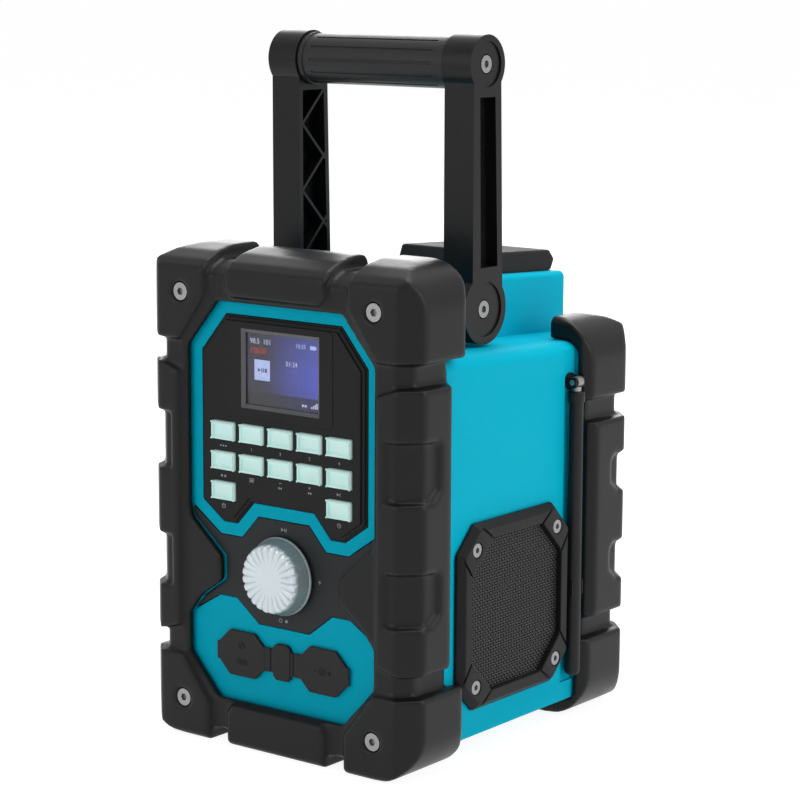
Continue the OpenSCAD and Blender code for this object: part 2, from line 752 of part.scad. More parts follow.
module tuning_knob() color([0.78, 0.86, 0.84]) at_front() difference() {
    union() {
        in_line(knob_face) cylinder(d1 = knob_front_d - 2, d2 = knob_front_d, h = 1);
        in_line(knob_face + 1 - eps) cylinder(d1 = knob_front_d, d2 = knob_d, h = knob_l - 1 + eps);
    }
    in_line(knob_face - eps) cylinder(d1 = knob_front_d * 0.62, d2 = knob_front_d * 0.4, h = 1.2);
    in_line(knob_face + 3) cylinder(d = shaft_d, h = knob_l);
    difference() {
        in_line(knob_face + 4) cylinder(d = knob_front_d - 4, h = knob_l);
        in_line(knob_face + 3) cylinder(d = shaft_d + 5, h = knob_l - 3 - 2.4);
    }
}

// ---- Ports under the rubber covers ----

module on_cover(d, t) translate([cover_x, 0, cover_z]) along_depth(d, t) children();
module flap_outline(inset, cut) octagon(cover_w - 2 * inset, cover_h - 2 * inset, cover_chamfer - cut);
module port_pocket() on_cover(shell_front - 1, 1 + pocket_depth) flap_outline(rim_inset - 0.5, 2);

module usb_hole(gap) translate([-7 - gap, shell_front, cover_z + 1 - gap])
    cube([14 + 2 * gap, 12, 7 + 2 * gap]);
module aux_hole(gap) to_back([0, shell_front, cover_z - 5.5]) cylinder(d = 7 + 2 * gap, h = 12);
module dc_hole(gap) to_back([0, shell_front, cover_z]) cylinder(d = 9 + 2 * gap, h = 12);

socket_face = shell_front + pocket_depth;
module usb_socket() color([0.78, 0.78, 0.8]) at_front() difference() {
    translate([-cover_x - 7, socket_face, cover_z + 1]) cube([14, 14, 7]);
    difference() {
        translate([-cover_x - 6.3, socket_face - 1, cover_z + 1.7]) cube([12.6, 12, 5.6]);
        translate([-cover_x - 5.5, socket_face + 1, cover_z + 4.6]) cube([11, 12, 1.8]);
    }
}

module aux_socket() color([0.1, 0.1, 0.1]) at_front() difference() {
    union() {
        to_back([-cover_x, socket_face, cover_z - 5.5]) cylinder(d = 7, h = 3);
        translate([-cover_x - 6, wall_back + eps, cover_z - 10.5]) cube([12, 12, 10.6]);
    }
    to_back([-cover_x, socket_face - 1, cover_z - 5.5]) cylinder(d = 3.6, h = 13);
}

module dc_socket() color([0.1, 0.1, 0.1]) at_front() {
    difference() {
        union() {
            to_back([cover_x, socket_face, cover_z]) cylinder(d = 9, h = 3);
            translate([cover_x - 5.5, wall_back + eps, cover_z - 5.5]) cube([11, 13, 11]);
        }
        to_back([cover_x, socket_face - 1, cover_z]) cylinder(d = 6.4, h = 11);
    }
    to_back([cover_x, socket_face + 1, cover_z]) cylinder(d = 2.1, h = 10);
}

module port_anchor() color([0.15, 0.15, 0.16]) at_front() {
    translate([0, 0, cover_z]) along_depth(cover_face - 0.4, cover_t + 0.4 + fit - eps)
        octagon(2 * link_half, link_h, 2);
    both_sides() translate([link_half - 1, cover_face + 0.2, cover_z - neck_h / 2])
        cube([1 + hinge_x - link_half - 0.1, neck_t, neck_h]);
}

module port_cover() {
    on_cover(cover_face, cover_t) flap_outline(0, 0);
    translate([hinge_x + 0.2, cover_face + 0.2, cover_z - neck_h / 2])
        cube([cover_x - cover_w / 2 - hinge_x + 2, neck_t, neck_h]);
    translate([cover_x + cover_w / 2 - 1, cover_face, cover_z - 5]) cube([3.2, 1.2, 10]);
    difference() {
        on_cover(cover_face + cover_t - eps, rim_h) flap_outline(rim_inset, 2);
        on_cover(cover_face + cover_t - 1, rim_h + 2) flap_outline(rim_inset + rim_t, 3);
    }
}
module port_cover_right() color([0.15, 0.15, 0.16]) at_front() port_cover();
module port_cover_left() color([0.15, 0.15, 0.16]) at_front() mirror([1, 0, 0]) port_cover();

// ---- Boards ----

board_z = 22;
board_post_x = 50;
board_post_front = 62;
board_post_back = 150;
module main_board() color([0.05, 0.3, 0.12]) at_front() {
    translate([-board_post_x - 6, board_post_front - 6, board_z])
        cube([2 * board_post_x + 12, board_post_back - board_post_front + 12, board_t]);
    translate([-20, board_post_front + 10, board_z + board_t - eps]) cube([22, 22, 3]);
    for (i = [0 : 3]) translate([-36 + i * 24, board_post_back - 14, board_z + board_t - eps])
        cylinder(d = 10, h = 16);
    translate([-30, board_post_back - 46, board_z + board_t - eps]) cube([60, 8, 14]);
}

// ---- Speakers, drawn for the right side ----

module at_speaker(x) translate([x, speaker_d, speaker_z]) rotate([90, 0, 90]) children();
module at_frame_screws(x) for (dy = [-frame_bolt, frame_bolt], dz = [-frame_bolt, frame_bolt])
    to_side([x, speaker_d + dy, speaker_z + dz]) children();

// Grooves set the corners with the screws off from the bars between them
module frame_grooves() at_speaker(frame_out - 1.3) linear_extrude(2) {
    inner = octagon_points(mesh_w, mesh_w, mesh_chamfer);
    outer = octagon_points(frame_w, frame_w, frame_chamfer);
    for (i = [0 : 7]) translate(inner[i])
        rotate(atan2(outer[i][1] - inner[i][1], outer[i][0] - inner[i][0]))
            translate([-2, -frame_groove / 2]) square([2 * frame_band, frame_groove]);
}

module speaker_frame() difference() {
    at_speaker(frame_in) hull() {
        linear_extrude(1.5) octagon(frame_w, frame_w, frame_chamfer);
        linear_extrude(frame_out - frame_in)
            octagon(frame_w - 2 * frame_bevel, frame_w - 2 * frame_bevel, frame_chamfer - 2);
    }
    frame_grooves();
    at_speaker(frame_in - 1) linear_extrude(20) octagon(mesh_w - 4, mesh_w - 4, mesh_chamfer - 1);
    at_speaker(mesh_out - mesh_t - fit) linear_extrude(20) octagon(mesh_w, mesh_w, mesh_chamfer);
    at_frame_screws(frame_in - 1) {
        cylinder(d = shank_d + 0.4, h = 20);
        translate([0, 0, frame_out - frame_in - 1.6]) cylinder(d = frame_head_d + 1, h = 20);
    }
}

module speaker_mesh() at_speaker(mesh_out - mesh_t)
    linear_extrude(mesh_t) octagon(mesh_w - 2 * fit, mesh_w - 2 * fit, mesh_chamfer);

basket_face = body_half - wall;
basket_depth = 34;
module speaker_basket() to_inside([basket_face, speaker_d, speaker_z]) {
    difference() {
        union() {
            translate([0, 0, eps]) cylinder(d = basket_d, h = 2.4);
            translate([0, 0, 2]) cylinder(d1 = basket_d - 8, d2 = basket_d * 0.5, h = basket_depth - 16);
            translate([0, 0, basket_depth - 15]) cylinder(d = basket_d * 0.62, h = 15);
        }
        translate([0, 0, -1]) cylinder(d = basket_d - 12, h = 3.6);
        translate([0, 0, 2.5]) cylinder(d1 = basket_d - 12, d2 = basket_d * 0.42, h = basket_depth - 17);
        translate([0, 0, basket_depth - 16]) cylinder(r = coil_r + fit, h = 10);
        for (dy = [-frame_bolt, frame_bolt], dz = [-frame_bolt, frame_bolt])
            translate([dz, dy, -1]) cylinder(d = boss_d + 1, h = 40);
    }
    translate([0, 0, basket_depth - 12]) cylinder(r = coil_r - 0.6 - 2 * fit, h = 9);
}

// The cone, its coil and the cap move together on the surround
module speaker_cone() to_inside([basket_face, speaker_d, speaker_z]) {
    rotate_extrude() polygon([[cone_rim, 1.2], [cone_rim - 2.6, 1.2], [coil_r - 0.6, basket_depth - 18],
        [coil_r - 0.6, basket_depth - 11], [coil_r, basket_depth - 11], [coil_r, basket_depth - 18.4],
        [cone_rim - 1.6, 2.2], [cone_rim, 2.2]]);
    translate([0, 0, basket_depth - 20.4]) cylinder(d1 = 18, d2 = 2 * coil_r - 0.4, h = 2.6);
}

module on_side(side) at_front() mirror([side > 0 ? 0 : 1, 0, 0]) children();

module speaker_frame_right() color([0.15, 0.15, 0.16]) on_side(1) speaker_frame();
module speaker_frame_left() color([0.15, 0.15, 0.16]) on_side(-1) speaker_frame();
module speaker_mesh_right() color([0.08, 0.08, 0.08]) on_side(1) speaker_mesh();
module speaker_mesh_left() color([0.08, 0.08, 0.08]) on_side(-1) speaker_mesh();
module speaker_basket_right() color([0.4, 0.4, 0.42]) on_side(1) speaker_basket();
module speaker_basket_left() color([0.4, 0.4, 0.42]) on_side(-1) speaker_basket();
module speaker_cone_right() color([0.1, 0.1, 0.1]) on_side(1) speaker_cone();
module speaker_cone_left() color([0.1, 0.1, 0.1]) on_side(-1) speaker_cone();

module speaker_screws() color([0.75, 0.75, 0.76]) at_front() both_sides()
    at_frame_screws(frame_out - 0.4) mirror([0, 0, 1]) cap_screw(frame_head_d, 2, 13);

// ---- Handle ----

module at_pivot() translate([0, pivot_d, pivot_z]) children();

module arm_outline() {
    circle(r = disc_r);
    translate([0, handle_l]) circle(r = arm_top_r);
    polygon([[arm_shift - arm_half_low, 6], [arm_shift + arm_half_low, 6],
        [arm_half_top, handle_l], [-arm_half_top, handle_l]]);
}

rib_t = 1.6;
slot_low = 20;
slot_high = handle_l - 17;
rib_pitch = (slot_high - slot_low) / 5;
module arm_cavity() difference() {
    polygon([[arm_shift - arm_half_low + web_t, slot_low], [arm_shift + arm_half_low - web_t, slot_low],
        [arm_half_top - web_t, slot_high], [web_t - arm_half_top, slot_high]]);
    for (i = [0 : 4]) translate([0, slot_low + (i + 0.5) * rib_pitch])
        rotate(i % 2 == 0 ? 45 : -45) square([60, rib_t], center = true);
}

module handle_arm() at_pivot() difference() {
    along_width(arm_in, arm_t) arm_outline();
    along_width(arm_in - 1, arm_t - slot_t - web_t + 1) arm_cavity();
    along_width(arm_out - slot_t, slot_t + 1)
        polygon([[-4.5, slot_low + 2], [10.5, slot_low + 2], [7, slot_high], [-6.5, slot_high]]);
    to_side([arm_out - 1, 0, 0]) cylinder(r = disc_r - 4.2, h = 2);
    to_side([arm_out - 1, 0, handle_l]) cylinder(r = arm_top_r - 3.4, h = 2);
    to_side([arm_in - 1, 0, 0]) cylinder(d = bolt_d + 2 * run, h = arm_t + 2);
    to_side([arm_in - 1, 0, handle_l]) cylinder(d = shank_d + 0.4, h = arm_t + 2);
    to_side([arm_in - 1, 0, handle_l]) cylinder(d = tube_d + 2 * run, h = 9);
    for (z = [0, handle_l]) to_side([arm_out - head_seat, 0, z]) cylinder(d = bolt_head_d + 1.2, h = 4);
}
module handle_arm_right() color([0.17, 0.17, 0.18]) on_side(1) handle_arm();
module handle_arm_left() color([0.17, 0.17, 0.18]) on_side(-1) handle_arm();

module grip_tube() color([0.6, 0.6, 0.62]) at_front() at_pivot() difference() {
    to_side([-arm_in - 7.8, 0, handle_l]) cylinder(d = tube_d, h = 2 * arm_in + 15.6);
    both_sides() to_side([arm_in - 8, 0, handle_l]) cylinder(d = tap_d, h = 30);
}

module grip_sleeve() color([0.14, 0.14, 0.15]) at_front() at_pivot() difference() {
    union() {
        to_side([-arm_in + 0.2, 0, handle_l]) cylinder(d = grip_d, h = 2 * arm_in - 0.4);
        both_sides() to_side([arm_in - 3.2, 0, handle_l]) cylinder(d = grip_d + 1.6, h = 3);
    }
    to_side([-arm_in - 1, 0, handle_l]) cylinder(d = tube_d + 2 * run, h = 2 * arm_in + 2);
    for (a = [0 : 30 : 330]) translate([0, 0, handle_l]) rotate([a, 0, 0])
        translate([-arm_in + 8, -0.6, grip_d / 2 - 0.6]) cube([2 * arm_in - 16, 1.2, 2]);
}

module handle_screws() color([0.75, 0.75, 0.76]) at_front() at_pivot() both_sides()
    to_inside([arm_out - head_seat + bolt_head_t, 0, handle_l]) cap_screw(bolt_head_d, bolt_head_t, 24);

module pivot_bolts() color([0.75, 0.75, 0.76]) at_front() at_pivot() both_sides() {
    to_inside([arm_out - head_seat + bolt_head_t, 0, 0]) cap_screw(bolt_head_d, bolt_head_t, 4);
    to_inside([arm_out - head_seat, 0, 0]) cylinder(d = bolt_d, h = arm_out - head_seat - tower_half + 6);
}

// ---- Battery pack, drawn in the roof's frame ----

head_z = 0.3;
pack_low = -pack_body_h;
button_face = pack_front + pack_head_l - 2.9;
cell_front = well_front + well_gap + pack_wall + 1.5 + cell_pitch / 2;
blade_x = [-18, -6, 6, 18];
module battery_case() color([0.12, 0.12, 0.13]) at_front() roof_frame() difference() {
    union() {
        translate([0, pack_front, head_z]) along_width(-pack_w / 2, pack_w)
            polygon([[2, 0], [0, 3.5], [3, pack_head_h], [pack_head_l - 5, pack_head_h],
                [pack_head_l, pack_head_h - 5], [pack_head_l - 3, 0]]);
        translate([-pack_w / 2, well_front + well_gap, pack_low])
            cube([pack_w, pack_body_l, pack_body_h + 1]);
    }
    translate([-cell_l / 2 - 0.3, well_front + well_gap + pack_wall, pack_low + pack_wall])
        cube([cell_l + 0.6, pack_body_l - 2 * pack_wall, pack_body_h - 2 * pack_wall]);
    translate([-button_w / 2 - fit, button_face - button_travel - 0.7, head_z + 2 - fit])
        cube([button_w + 2 * fit, 10, button_h + 2 * fit]);
    for (x = blade_x) translate([x - 1, well_front + 10, pack_low - 1]) cube([2, 12, pack_wall + 2]);
}

module battery_cells() color([0.2, 0.45, 0.3]) at_front() roof_frame()
    for (row = [0 : 4], column = [0, 1])
        to_side([-cell_l / 2, cell_front + column * (cell_pitch + 1), pack_low + pack_wall + 0.2
            + (row + 0.5) * cell_pitch]) cylinder(d = cell_d, h = cell_l);

module battery_button() color([0.7, 0.1, 0.1]) at_front() roof_frame()
    translate([-button_w / 2, button_face, head_z + 2]) cube([button_w, button_t, button_h]);

terminal_w = 46;
terminal_l = 18;
module battery_terminals() color([0.8, 0.65, 0.3]) at_front() roof_frame() {
    translate([-terminal_w / 2, well_front + 6 + fit, well_floor - 3.5]) cube([terminal_w, terminal_l, 4]);
    for (x = blade_x) translate([x - 0.4, well_front + 11, well_floor]) cube([0.8, 10, 1.9 + pack_wall]);
}

// ---- Antenna ----

base_d = 9.4;
stud_d = 5;
ear_t = 1.6;
ear_gap = 0.3;
knuckle_stem_d = 5;
ear_off = knuckle_w / 2 + ear_gap + ear_t / 2;
// A drawing of the given length, centred on the joint along the depth
module along_joint(length) to_back([rod_x, antenna_d - length / 2, antenna_z]) children();

module antenna_base() color([0.12, 0.12, 0.13]) at_front() difference() {
    union() {
        to_side([groove_x + 0.1, antenna_d, antenna_z]) cylinder(d = base_d, h = 1);
        to_side([body_half - wall - 0.5, antenna_d, antenna_z]) cylinder(d = stud_d, h = wall);
        for (s = [-1, 1])
            translate([groove_x + 1, antenna_d + s * ear_off - ear_t / 2, antenna_z - 2.8])
                cube([rod_x - groove_x + 1.2, ear_t, 5.6]);
    }
    along_joint(20) cylinder(d = pin_d + 0.02, h = 20);
}

module antenna_pin() color([0.75, 0.75, 0.76]) at_front()
    along_joint(knuckle_w + 4.6) cylinder(d = pin_d, h = knuckle_w + 4.6);

module antenna_knuckle() color([0.75, 0.75, 0.76]) at_front() difference() {
    union() {
        along_joint(knuckle_w) cylinder(d = 6, h = knuckle_w);
        translate([rod_x, antenna_d, antenna_z - knuckle_l])
            cylinder(d = knuckle_stem_d, h = knuckle_l - 2.6);
    }
    along_joint(20) cylinder(d = pin_d + 2 * run, h = 20);
}

rod_top = antenna_z - 5;
ferrule_l = 6;
module antenna_rod() color([0.12, 0.12, 0.12]) at_front() translate([rod_x, antenna_d, 0]) difference() {
    union() {
        translate([0, 0, rod_top - ferrule_l]) cylinder(d = rod_d + 0.4, h = ferrule_l);
        translate([0, 0, rod_top - rod_l]) cylinder(d1 = rod_tip_d, d2 = rod_d, h = rod_l - ferrule_l + 0.1);
    }
    translate([0, 0, antenna_z - knuckle_l - 0.02]) cylinder(d = knuckle_stem_d + 0.02, h = 20);
}

clip_arm_d = rod_d / 2 + 0.5;
clip_arm_t = 0.8;
clip_h = 8;
module antenna_clip() color([0.12, 0.12, 0.12]) at_front() {
    to_side([body_half - wall - 0.5, antenna_d, clip_z]) cylinder(d = stud_d, h = wall);
    translate([groove_x + 0.1, antenna_d - clip_arm_d - clip_arm_t / 2, clip_z - clip_h / 2])
        cube([0.5, 2 * clip_arm_d + clip_arm_t, clip_h]);
    for (s = [-1, 1])
        translate([groove_x + 0.1, antenna_d + s * clip_arm_d - clip_arm_t / 2, clip_z - clip_h / 2])
            cube([rod_x - groove_x + 2.5, clip_arm_t, clip_h]);
}

front_shell();
main_shell();
rear_cover();
front_bumper();
rear_bumper();
centre_panel();
control_panel();
display_window();
display_module();
key_board();
encoder_body();
encoder_plunger();
encoder_shaft();
tuning_knob();
main_board();
usb_socket();
aux_socket();
dc_socket();
port_anchor();
port_cover_left();
port_cover_right();
speaker_frame_left();
speaker_frame_right();
speaker_mesh_left();
speaker_mesh_right();
speaker_basket_left();
speaker_basket_right();
speaker_cone_left();
speaker_cone_right();
bumper_screws();
speaker_screws();
rear_cover_screws();
pivot_bolts();
battery_terminals();
antenna_base();
antenna_pin();
antenna_knuckle();
antenna_rod();
antenna_clip();
handle_arm_left();
handle_arm_right();
grip_tube();
grip_sleeve();
handle_screws();
battery_case();
battery_cells();
battery_button();
for (r = [0 : 2], c = key_rows[r])
    key(r, c);
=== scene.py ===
import json
from math import atan2, cos, hypot, pi, radians, sin, tau

import bmesh
import bpy
from mathutils import Matrix, Vector
from mathutils.kdtree import KDTree


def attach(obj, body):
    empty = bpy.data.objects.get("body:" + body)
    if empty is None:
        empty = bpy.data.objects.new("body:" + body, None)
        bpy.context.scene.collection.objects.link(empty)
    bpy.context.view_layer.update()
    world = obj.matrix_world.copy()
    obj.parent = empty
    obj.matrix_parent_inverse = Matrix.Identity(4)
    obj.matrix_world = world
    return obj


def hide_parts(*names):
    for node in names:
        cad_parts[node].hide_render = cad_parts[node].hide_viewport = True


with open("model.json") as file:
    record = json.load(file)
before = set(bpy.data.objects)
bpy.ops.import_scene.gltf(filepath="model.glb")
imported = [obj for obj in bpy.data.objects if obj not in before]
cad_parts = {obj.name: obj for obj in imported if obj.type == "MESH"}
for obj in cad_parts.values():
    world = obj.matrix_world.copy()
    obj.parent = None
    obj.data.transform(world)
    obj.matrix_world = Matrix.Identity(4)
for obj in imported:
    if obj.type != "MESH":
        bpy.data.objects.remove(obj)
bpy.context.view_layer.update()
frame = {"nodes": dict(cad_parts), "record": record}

nodes = frame["nodes"]
body_of = {node: body for body, held in frame["record"]["behaviour"]["bodies"].items()
           for node in held}
slot_of = {row["node"]: row["material_slot"] for row in frame["record"]["subparts"]}
mm = 0.001
bpy.ops.object.select_all(action="DESELECT")

# ---- Camera ----
# A long lens a little above the middle of the radio, turned to its right front corner.
camera_data = bpy.data.cameras.new("camera")
camera_data.sensor_width = 36
camera_data.lens = 113.822
camera = bpy.data.objects.new("camera", camera_data)
bpy.context.collection.objects.link(camera)
camera.matrix_world = (Matrix.Translation((0.83557, -1.07888, 0.4133))
                       @ Matrix.Rotation(radians(37.587), 4, "Z")
                       @ Matrix.Rotation(radians(80.212), 4, "X")
                       @ Matrix.Rotation(radians(0.3086), 4, "Z"))
bpy.context.scene.camera = camera


# ---- Studio ----
# A pale floor that runs out of sight, a white surround, and soft boxes above, to the right,
# in front and behind. Both show white to the camera and in glass and metal.
def place(tree, kind, at, **settings):
    """Add a node; `at` gives its inputs, each a value or another node's output."""
    node = tree.nodes.new(kind)
    for name, value in settings.items():
        setattr(node, name, value)
    for socket, value in at.items():
        if isinstance(value, bpy.types.NodeSocket):
            tree.links.new(value, node.inputs[socket])
        else:
            node.inputs[socket].default_value = value
    return node


def object_spot(tree):
    return place(tree, "ShaderNodeTexCoord", {}).outputs["Object"]


def seen_directly(tree):
    """1 for camera, mirror and glass rays, 0 for the rays that light a surface."""
    path = place(tree, "ShaderNodeLightPath", {})
    glass = place(tree, "ShaderNodeMath", {0: path.outputs["Is Glossy Ray"],
                                           1: path.outputs["Is Transmission Ray"]},
                  operation="MAXIMUM")
    return place(tree, "ShaderNodeMath", {0: path.outputs["Is Camera Ray"], 1: glass.outputs[0]},
                 operation="MAXIMUM").outputs[0]


bpy.context.scene.view_settings.view_transform = "Standard"
bpy.ops.mesh.primitive_plane_add(size=120)
floor = bpy.context.object
floor.name = "floor"
floor_paint = bpy.data.materials.new("floor_paint")
floor_paint.use_nodes = True
tree = floor_paint.node_tree
tree.nodes.clear()
matt = place(tree, "ShaderNodeBsdfDiffuse", {"Color": (0.86, 0.86, 0.86, 1)})
glow = place(tree, "ShaderNodeEmission", {"Color": (1, 1, 1, 1), "Strength": 1.5})
share = place(tree, "ShaderNodeMath", {0: seen_directly(tree), 1: 0.6}, operation="MULTIPLY")
mix = place(tree, "ShaderNodeMixShader", {0: share.outputs[0], 1: matt.outputs[0],
                                          2: glow.outputs[0]})
place(tree, "ShaderNodeOutputMaterial", {"Surface": mix.outputs[0]})
floor.data.materials.append(floor_paint)

world = bpy.data.worlds.new("surround")
bpy.context.scene.world = world
world.use_nodes = True
tree = world.node_tree
tree.nodes.clear()
level = place(tree, "ShaderNodeMapRange", {"Value": seen_directly(tree), "To Min": 0.34,
                                           "To Max": 1})
sky = place(tree, "ShaderNodeBackground", {"Strength": level.outputs[0]})
place(tree, "ShaderNodeOutputWorld", {"Surface": sky.outputs[0]})


def softbox(name, spot, size, power):
    lamp = bpy.data.lights.new(name, "AREA")
    lamp.size = size
    lamp.energy = power
    box = bpy.data.objects.new(name, lamp)
    box.visible_camera = False
    bpy.context.collection.objects.link(box)
    box.location = spot
    box.rotation_euler = (Vector((0, 0, 0.15)) - box.location).to_track_quat("-Z", "Y").to_euler()


softbox("top_box", (0.1, 0.5, 1.9), 1.6, 30)
softbox("right_box", (1.9, 0.3, 0.9), 1.4, 15)
softbox("front_box", (-0.7, -2.0, 0.9), 1.3, 9)
softbox("back_box", (-1.2, 1.6, 1.1), 1.2, 12)
softbox("rim_box", (-1.75, 2.25, 0.7), 1.1, 7)


# ---- Housing shells ----
# Two injection-moulded halves in coloured plastic, screwed together behind the front bumper.
# The skin is finely spark-eroded; walls are 3 mm and every outer edge is eased.
def only(piece):
    bpy.ops.object.select_all(action="DESELECT")
    piece.select_set(True)
    bpy.context.view_layer.objects.active = piece


def new_piece(name, mesh):
    piece = bpy.data.objects.new(name, mesh)
    bpy.context.collection.objects.link(piece)
    return piece


def merged_copy(node, name):
    """The node's shape as one closed mesh, in a piece of its own."""
    piece = new_piece(name, nodes[node].data.copy())
    only(piece)
    bpy.ops.object.mode_set(mode="EDIT")
    bpy.ops.mesh.select_all(action="SELECT")
    bpy.ops.mesh.remove_doubles(threshold=1e-5)
    bpy.ops.mesh.tris_convert_to_quads(face_threshold=radians(1), shape_threshold=radians(180))
    bpy.ops.object.mode_set(mode="OBJECT")
    return piece


def apply_modifier(piece, kind, **settings):
    only(piece)
    step = piece.modifiers.new(kind.lower(), kind)
    for name, value in settings.items():
        setattr(step, name, value)
    bpy.ops.object.modifier_apply(modifier=step.name)


def shaded(piece, turn=32):
    """Smooth shading that breaks at sharper edges and keeps flats flat."""
    only(piece)
    bpy.ops.object.shade_smooth_by_angle(angle=radians(turn))
    apply_modifier(piece, "WEIGHTED_NORMAL", keep_sharp=True, weight=80)


def fitted(piece, body, slot, paint, *replaced):
    """Give a finished piece its material, its body and the nodes it stands for; slot is not used.
    """
    piece.data.materials.clear()
    piece.data.materials.append(paint)
    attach(piece, body)
    if replaced:
        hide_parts(*replaced)
    return piece


def new_group(name, takes, gives):
    group = bpy.data.node_groups.new(name, "ShaderNodeTree")
    kinds = {"c": "NodeSocketColor", "f": "NodeSocketFloat"}
    for side, sockets in (("INPUT", takes), ("OUTPUT", gives)):
        for label, kind in sockets:
            group.interface.new_socket(label, in_out=side, socket_type=kinds[kind])
    return group, group.nodes.new("NodeGroupInput"), group.nodes.new("NodeGroupOutput")


# Moulded grain: a fine leathery skin, a slow drift of tone, and corners painted paler, partly as
# wear from handling and partly as a painted highlight.
grain, given, result = new_group(
    "moulded_grain",
    (("Colour", "c"), ("Wear And Sheen Colour", "c"), ("Wear And Sheen", "f"), ("Roughness", "f"),
     ("Grain Size", "f"), ("Mottle", "f")),
    (("Colour", "c"), ("Roughness", "f"), ("Height", "f")))
spot = object_spot(grain)
fine = place(grain, "ShaderNodeTexNoise", {"Vector": spot, "Scale": given.outputs["Grain Size"],
                                           "Detail": 2.0})
broad = place(grain, "ShaderNodeTexNoise", {"Vector": spot, "Scale": 38.0, "Detail": 4.0})
drift = place(grain, "ShaderNodeMath", {0: broad.outputs["Fac"], 1: 0.5}, operation="SUBTRACT")
swing = place(grain, "ShaderNodeMath", {0: drift.outputs[0], 1: given.outputs["Mottle"], 2: 1.0},
              operation="MULTIPLY_ADD")
toned = place(grain, "ShaderNodeVectorMath", {0: given.outputs["Colour"],
                                              "Scale": swing.outputs[0]}, operation="SCALE")
patchy_wear_and_sheen = place(grain, "ShaderNodeMath", {0: broad.outputs["Fac"], 1: given.outputs["Wear And Sheen"]},
               operation="MULTIPLY")
wear_and_sheen_mix = place(grain, "ShaderNodeMix", {0: patchy_wear_and_sheen.outputs[0], 6: toned.outputs[0],
                                        7: given.outputs["Wear And Sheen Colour"]}, data_type="RGBA")
uneven = place(grain, "ShaderNodeMath", {0: drift.outputs[0], 1: 0.25,
                                         2: given.outputs["Roughness"]}, operation="MULTIPLY_ADD")
grain.links.new(wear_and_sheen_mix.outputs[2], result.inputs["Colour"])
grain.links.new(uneven.outputs[0], result.inputs["Roughness"])
grain.links.new(fine.outputs["Fac"], result.inputs["Height"])


def moulded(name, colour, rough, size=1400.0, depth=0.02, mottle=0.12, gloss=0.3, wear_and_sheen=0.0,
            wear_and_sheen_colour=None, metal=0.0):
    """A moulded or cast finish; depth is the grain's in millimetres."""
    paint = bpy.data.materials.new(name)
    paint.use_nodes = True
    tree = paint.node_tree
    shader = tree.nodes["Principled BSDF"]
    shader.inputs["Specular IOR Level"].default_value = gloss
    shader.inputs["Metallic"].default_value = metal
    skin = place(tree, "ShaderNodeGroup",
                 {"Colour": (*colour, 1), "Wear And Sheen Colour": (*(wear_and_sheen_colour or colour), 1),
                  "Wear And Sheen": 0.0, "Roughness": rough, "Grain Size": size, "Mottle": mottle},
                 node_tree=grain)
    # Convex edges painted paler in patches: partly wear from handling, partly a painted highlight
    # where edges catch the light.
    if wear_and_sheen:
        edge = place(tree, "ShaderNodeNewGeometry", {}).outputs["Pointiness"]
        wear_and_sheen_mask = place(tree, "ShaderNodeMapRange", {"Value": edge, "From Min": 0.515,
                                                  "From Max": 0.6, "To Max": wear_and_sheen})
        tree.links.new(wear_and_sheen_mask.outputs[0], skin.inputs["Wear And Sheen"])
    bump = place(tree, "ShaderNodeBump", {"Strength": 0.7, "Distance": depth * mm,
                                          "Height": skin.outputs["Height"]})
    tree.links.new(skin.outputs["Colour"], shader.inputs["Base Color"])
    tree.links.new(skin.outputs["Roughness"], shader.inputs["Roughness"])
    tree.links.new(bump.outputs[0], shader.inputs["Normal"])
    return paint


EDGE_TURN = radians(26)


def softened(node, radius, paint, steps=2):
    """A copy of the node whose edges are rounded, clamped where there is little room."""
    piece = merged_copy(node, node + "_moulding")
    apply_modifier(piece, "BEVEL", width=radius * mm, segments=steps, limit_method="ANGLE",
                   angle_limit=EDGE_TURN, use_clamp_overlap=True, miter_outer="MITER_ARC")
    shaded(piece)
    return fitted(piece, body_of[node], slot_of[node], paint, node)


shell_paint = moulded("shell_plastic", (0.0, 0.44, 0.61), 0.5, mottle=0.05, gloss=0.05)
softened("main_shell", 1.0, shell_paint)
softened("front_shell", 0.6, shell_paint)

# ---- Bumpers ----
# One thick soft rubber moulding at the front and one at the back, with heavy corner blocks and
# ribbed side pads. Every edge is well rounded, and the corners are painted a little paler, partly
# as wear from handling and partly as a painted highlight.
VOXEL = 1.14
SMOOTH_ROUNDS = 10
# The paler colour on the bumpers' corners is partly wear and partly a painted highlight.
bumper_paint = moulded("bumper_rubber", (0.009, 0.009, 0.0093), 0.36, size=1100.0, depth=0.035,
                       mottle=0.3, gloss=0.2, wear_and_sheen=0.8, wear_and_sheen_colour=(0.04, 0.04, 0.04))
for node in ("front_bumper", "rear_bumper"):
    piece = merged_copy(node, node + "_moulding")
    apply_modifier(piece, "REMESH", mode="VOXEL", voxel_size=VOXEL * mm, adaptivity=0)
    apply_modifier(piece, "SMOOTH", factor=0.5, iterations=SMOOTH_ROUNDS)
    only(piece)
    bpy.ops.object.shade_smooth()
    fitted(piece, body_of[node], slot_of[node], bumper_paint, node)

